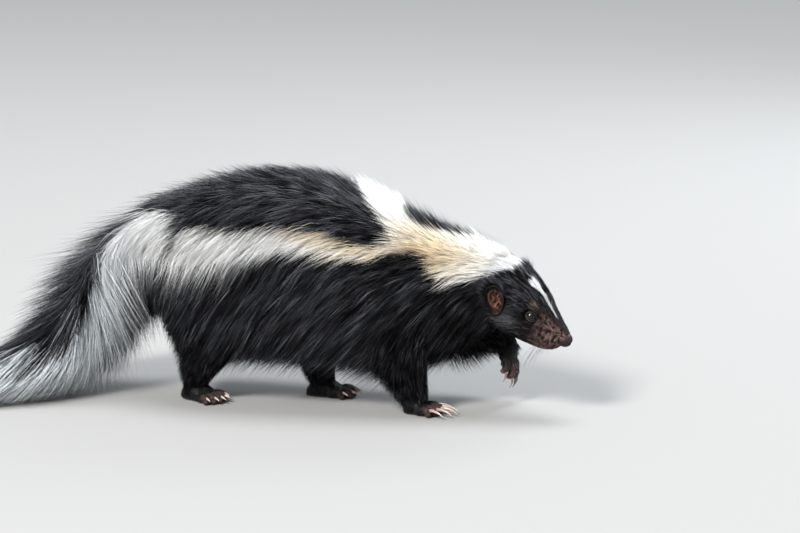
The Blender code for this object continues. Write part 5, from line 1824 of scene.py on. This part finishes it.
def make_foot_coat(row, frame, drop, skin, looks):
    """Short black hair over the top of the foot, thinning towards the toes."""
    _, name, _, (sole, *_), _, _, curl, _ = row
    chance = np.random.default_rng(SEED + 20 + [leg[1] for leg in LEGS].index(name))
    points = vertices_of(skin)
    normals = np.zeros(points.size, np.float32)
    skin.data.vertex_normals.foreach_get("vector", normals)
    normals = normals.reshape(-1, 3).astype(float)
    forward, _, up = np.array(frame.to_3x3()).T
    local = in_foot(points, frame)
    furry = (local[:, 2] > -drop + FOOT_HAIR_HEIGHT) & (normals @ up > FOOT_HAIR_FACING)
    thin = read_table(FOOT_THINNING, local[:, 0] / sole) * (RAISED_DENSITY if curl else FOOT_DENSITY)
    chosen = furry & (chance.random(len(points)) < thin)
    roots, normal, local = points[chosen], normals[chosen], local[chosen]
    count = len(roots)
    flow = forward * 0.9 - up * 0.35 + chance.normal(0, 0.16, (count, 3))
    flow = unit(flow - normal * np.sum(flow * normal, 1, keepdims=True) * 0.9)
    length = read_table(FOOT_LENGTH, local[:, 0] / sole) * chance.uniform(*FOOT_HAIR[0], count)
    half = chance.uniform(*FOOT_HAIR[1], count)
    tips = black_colour(count, chance, chance.random(count) * 0.8)
    tips = blend(tips, MUZZLE_HAIR, ramp(local[:, 0], sole * 0.6, 0.006) * 0.6)
    uv = np.stack([0.55 + local[:, 0], 0.46 + local[:, 1] * 0.5], 1)
    rise = chance.uniform(*FOOT_HAIR[2], count)
    return short_strands(
        name + "_fur", looks, roots, normal, flow, length, half, rise, tips, SHORT_ROOT, uv, 1
    )


# Stage


def make_floor():
    mesh = bpy.data.meshes.new("floor")
    corners_of_floor = [(x * FLOOR_HALF, y * FLOOR_HALF, 0) for x, y in ((-1, -1), (1, -1), (1, 1), (-1, 1))]
    mesh.from_pydata(corners_of_floor, [], [(0, 1, 2, 3)])
    mesh.materials.append(floor_material())
    placed("floor", mesh)


def area_light(name, place, aim, size, power, colour):
    data = bpy.data.lights.new(name, "AREA")
    data.shape = "DISK"
    data.size = size
    data.energy = power
    data.color = colour
    made = placed(name, data)
    made.location = place
    made.rotation_euler = (Vector(aim) - Vector(place)).to_track_quat("-Z", "Y").to_euler()


def make_lights():
    for light in LIGHTS:
        area_light(*light)
    world = bpy.data.worlds.new("studio")
    world.use_nodes = True
    background = world.node_tree.nodes["Background"]
    background.inputs["Color"].default_value = SKY
    background.inputs["Strength"].default_value = SKY_STRENGTH
    bpy.context.scene.world = world
    bpy.context.scene.view_settings.view_transform = "Standard"


def make_camera(shift):
    """The photograph's camera, moved with the animal."""
    level = Vector((math.sin(CAMERA_TURN), -math.cos(CAMERA_TURN), 0))
    back = level * math.cos(CAMERA_RISE) + Vector((0, 0, math.sin(CAMERA_RISE)))
    right = Vector((math.cos(CAMERA_TURN), math.sin(CAMERA_TURN), 0))
    aim = right * AIM_RIGHT + back.cross(right) * AIM_UP
    data = bpy.data.cameras.new("camera")
    data.sensor_width = SENSOR
    data.lens = SENSOR * CAMERA_AWAY / (PHOTO_WIDTH * METRES_A_PIXEL)
    camera = placed("camera", data)
    camera.location = back * CAMERA_AWAY + shift
    camera.rotation_euler = (back * CAMERA_AWAY - aim).to_track_quat("Z", "Y").to_euler()
    bpy.context.scene.camera = camera


def clear_scene():
    for obj in list(bpy.data.objects):
        bpy.data.objects.remove(obj)


def corners(box):
    return [list(corner) for corner in box]


def make_face(looks):
    """Eyes, lids and ears of both sides."""
    pieces = []
    for side in SIDES:
        name = side_name(side)
        sizes = [EYE_RADIUS] * 3
        eye = ball("eyeball_" + name, eye_centre(side), eye_axes(side), sizes, 64, 40, looks["eye"], eye_tint)
        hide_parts("eye_" + name)
        lids = lid_rim(side, looks["face"])
        ear = make_ear(side, looks["ear"])
        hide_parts("ear_" + name)
        pieces += [eye, lids, ear, *make_ear_coat(side, looks)]
    return pieces


def main():
    clear_scene()
    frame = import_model()
    spine = Form(SPINE, (0, 0, 1), SPINE_EASE)
    looks = {key: grained_material(*row) for key, row in MATERIALS.items()}
    low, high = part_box("eye_right")
    shift = (low + high) / 2 - eye_centre(1)
    shift.z = 0.0

    body = make_body_skin(spine, looks["skin"])
    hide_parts("neck", "torso", "tail_base", "tail_middle", "tail_tip")
    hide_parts(*(row[0] for row in LEGS))
    head = make_head_skin(looks["face"])
    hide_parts("head")
    pieces = [body, head]
    pieces += make_spine_coat(spine, looks, "trunk", TRUNK_SPAN, TRUNK_STEPS, SEED + 2)
    pieces += make_spine_coat(spine, looks, "tail", TAIL_SPAN, TAIL_STEPS, SEED + 12)
    pieces += make_head_coat(looks)
    pieces += make_leg_coat(looks)
    pieces += make_whiskers(looks)
    nose = make_nose(nose_material())
    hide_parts("nose")
    pieces += [nose, *make_face(looks)]
    for row in LEGS:
        skin, horn, fur = make_foot(row, looks)
        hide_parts(row[1])
        pieces += [skin, horn, *fur]
    move = Matrix.Translation(shift)
    for piece in pieces:
        piece.data.transform(move)
        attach(piece, "root")

    make_floor()
    make_lights()
    make_camera(shift)


main()
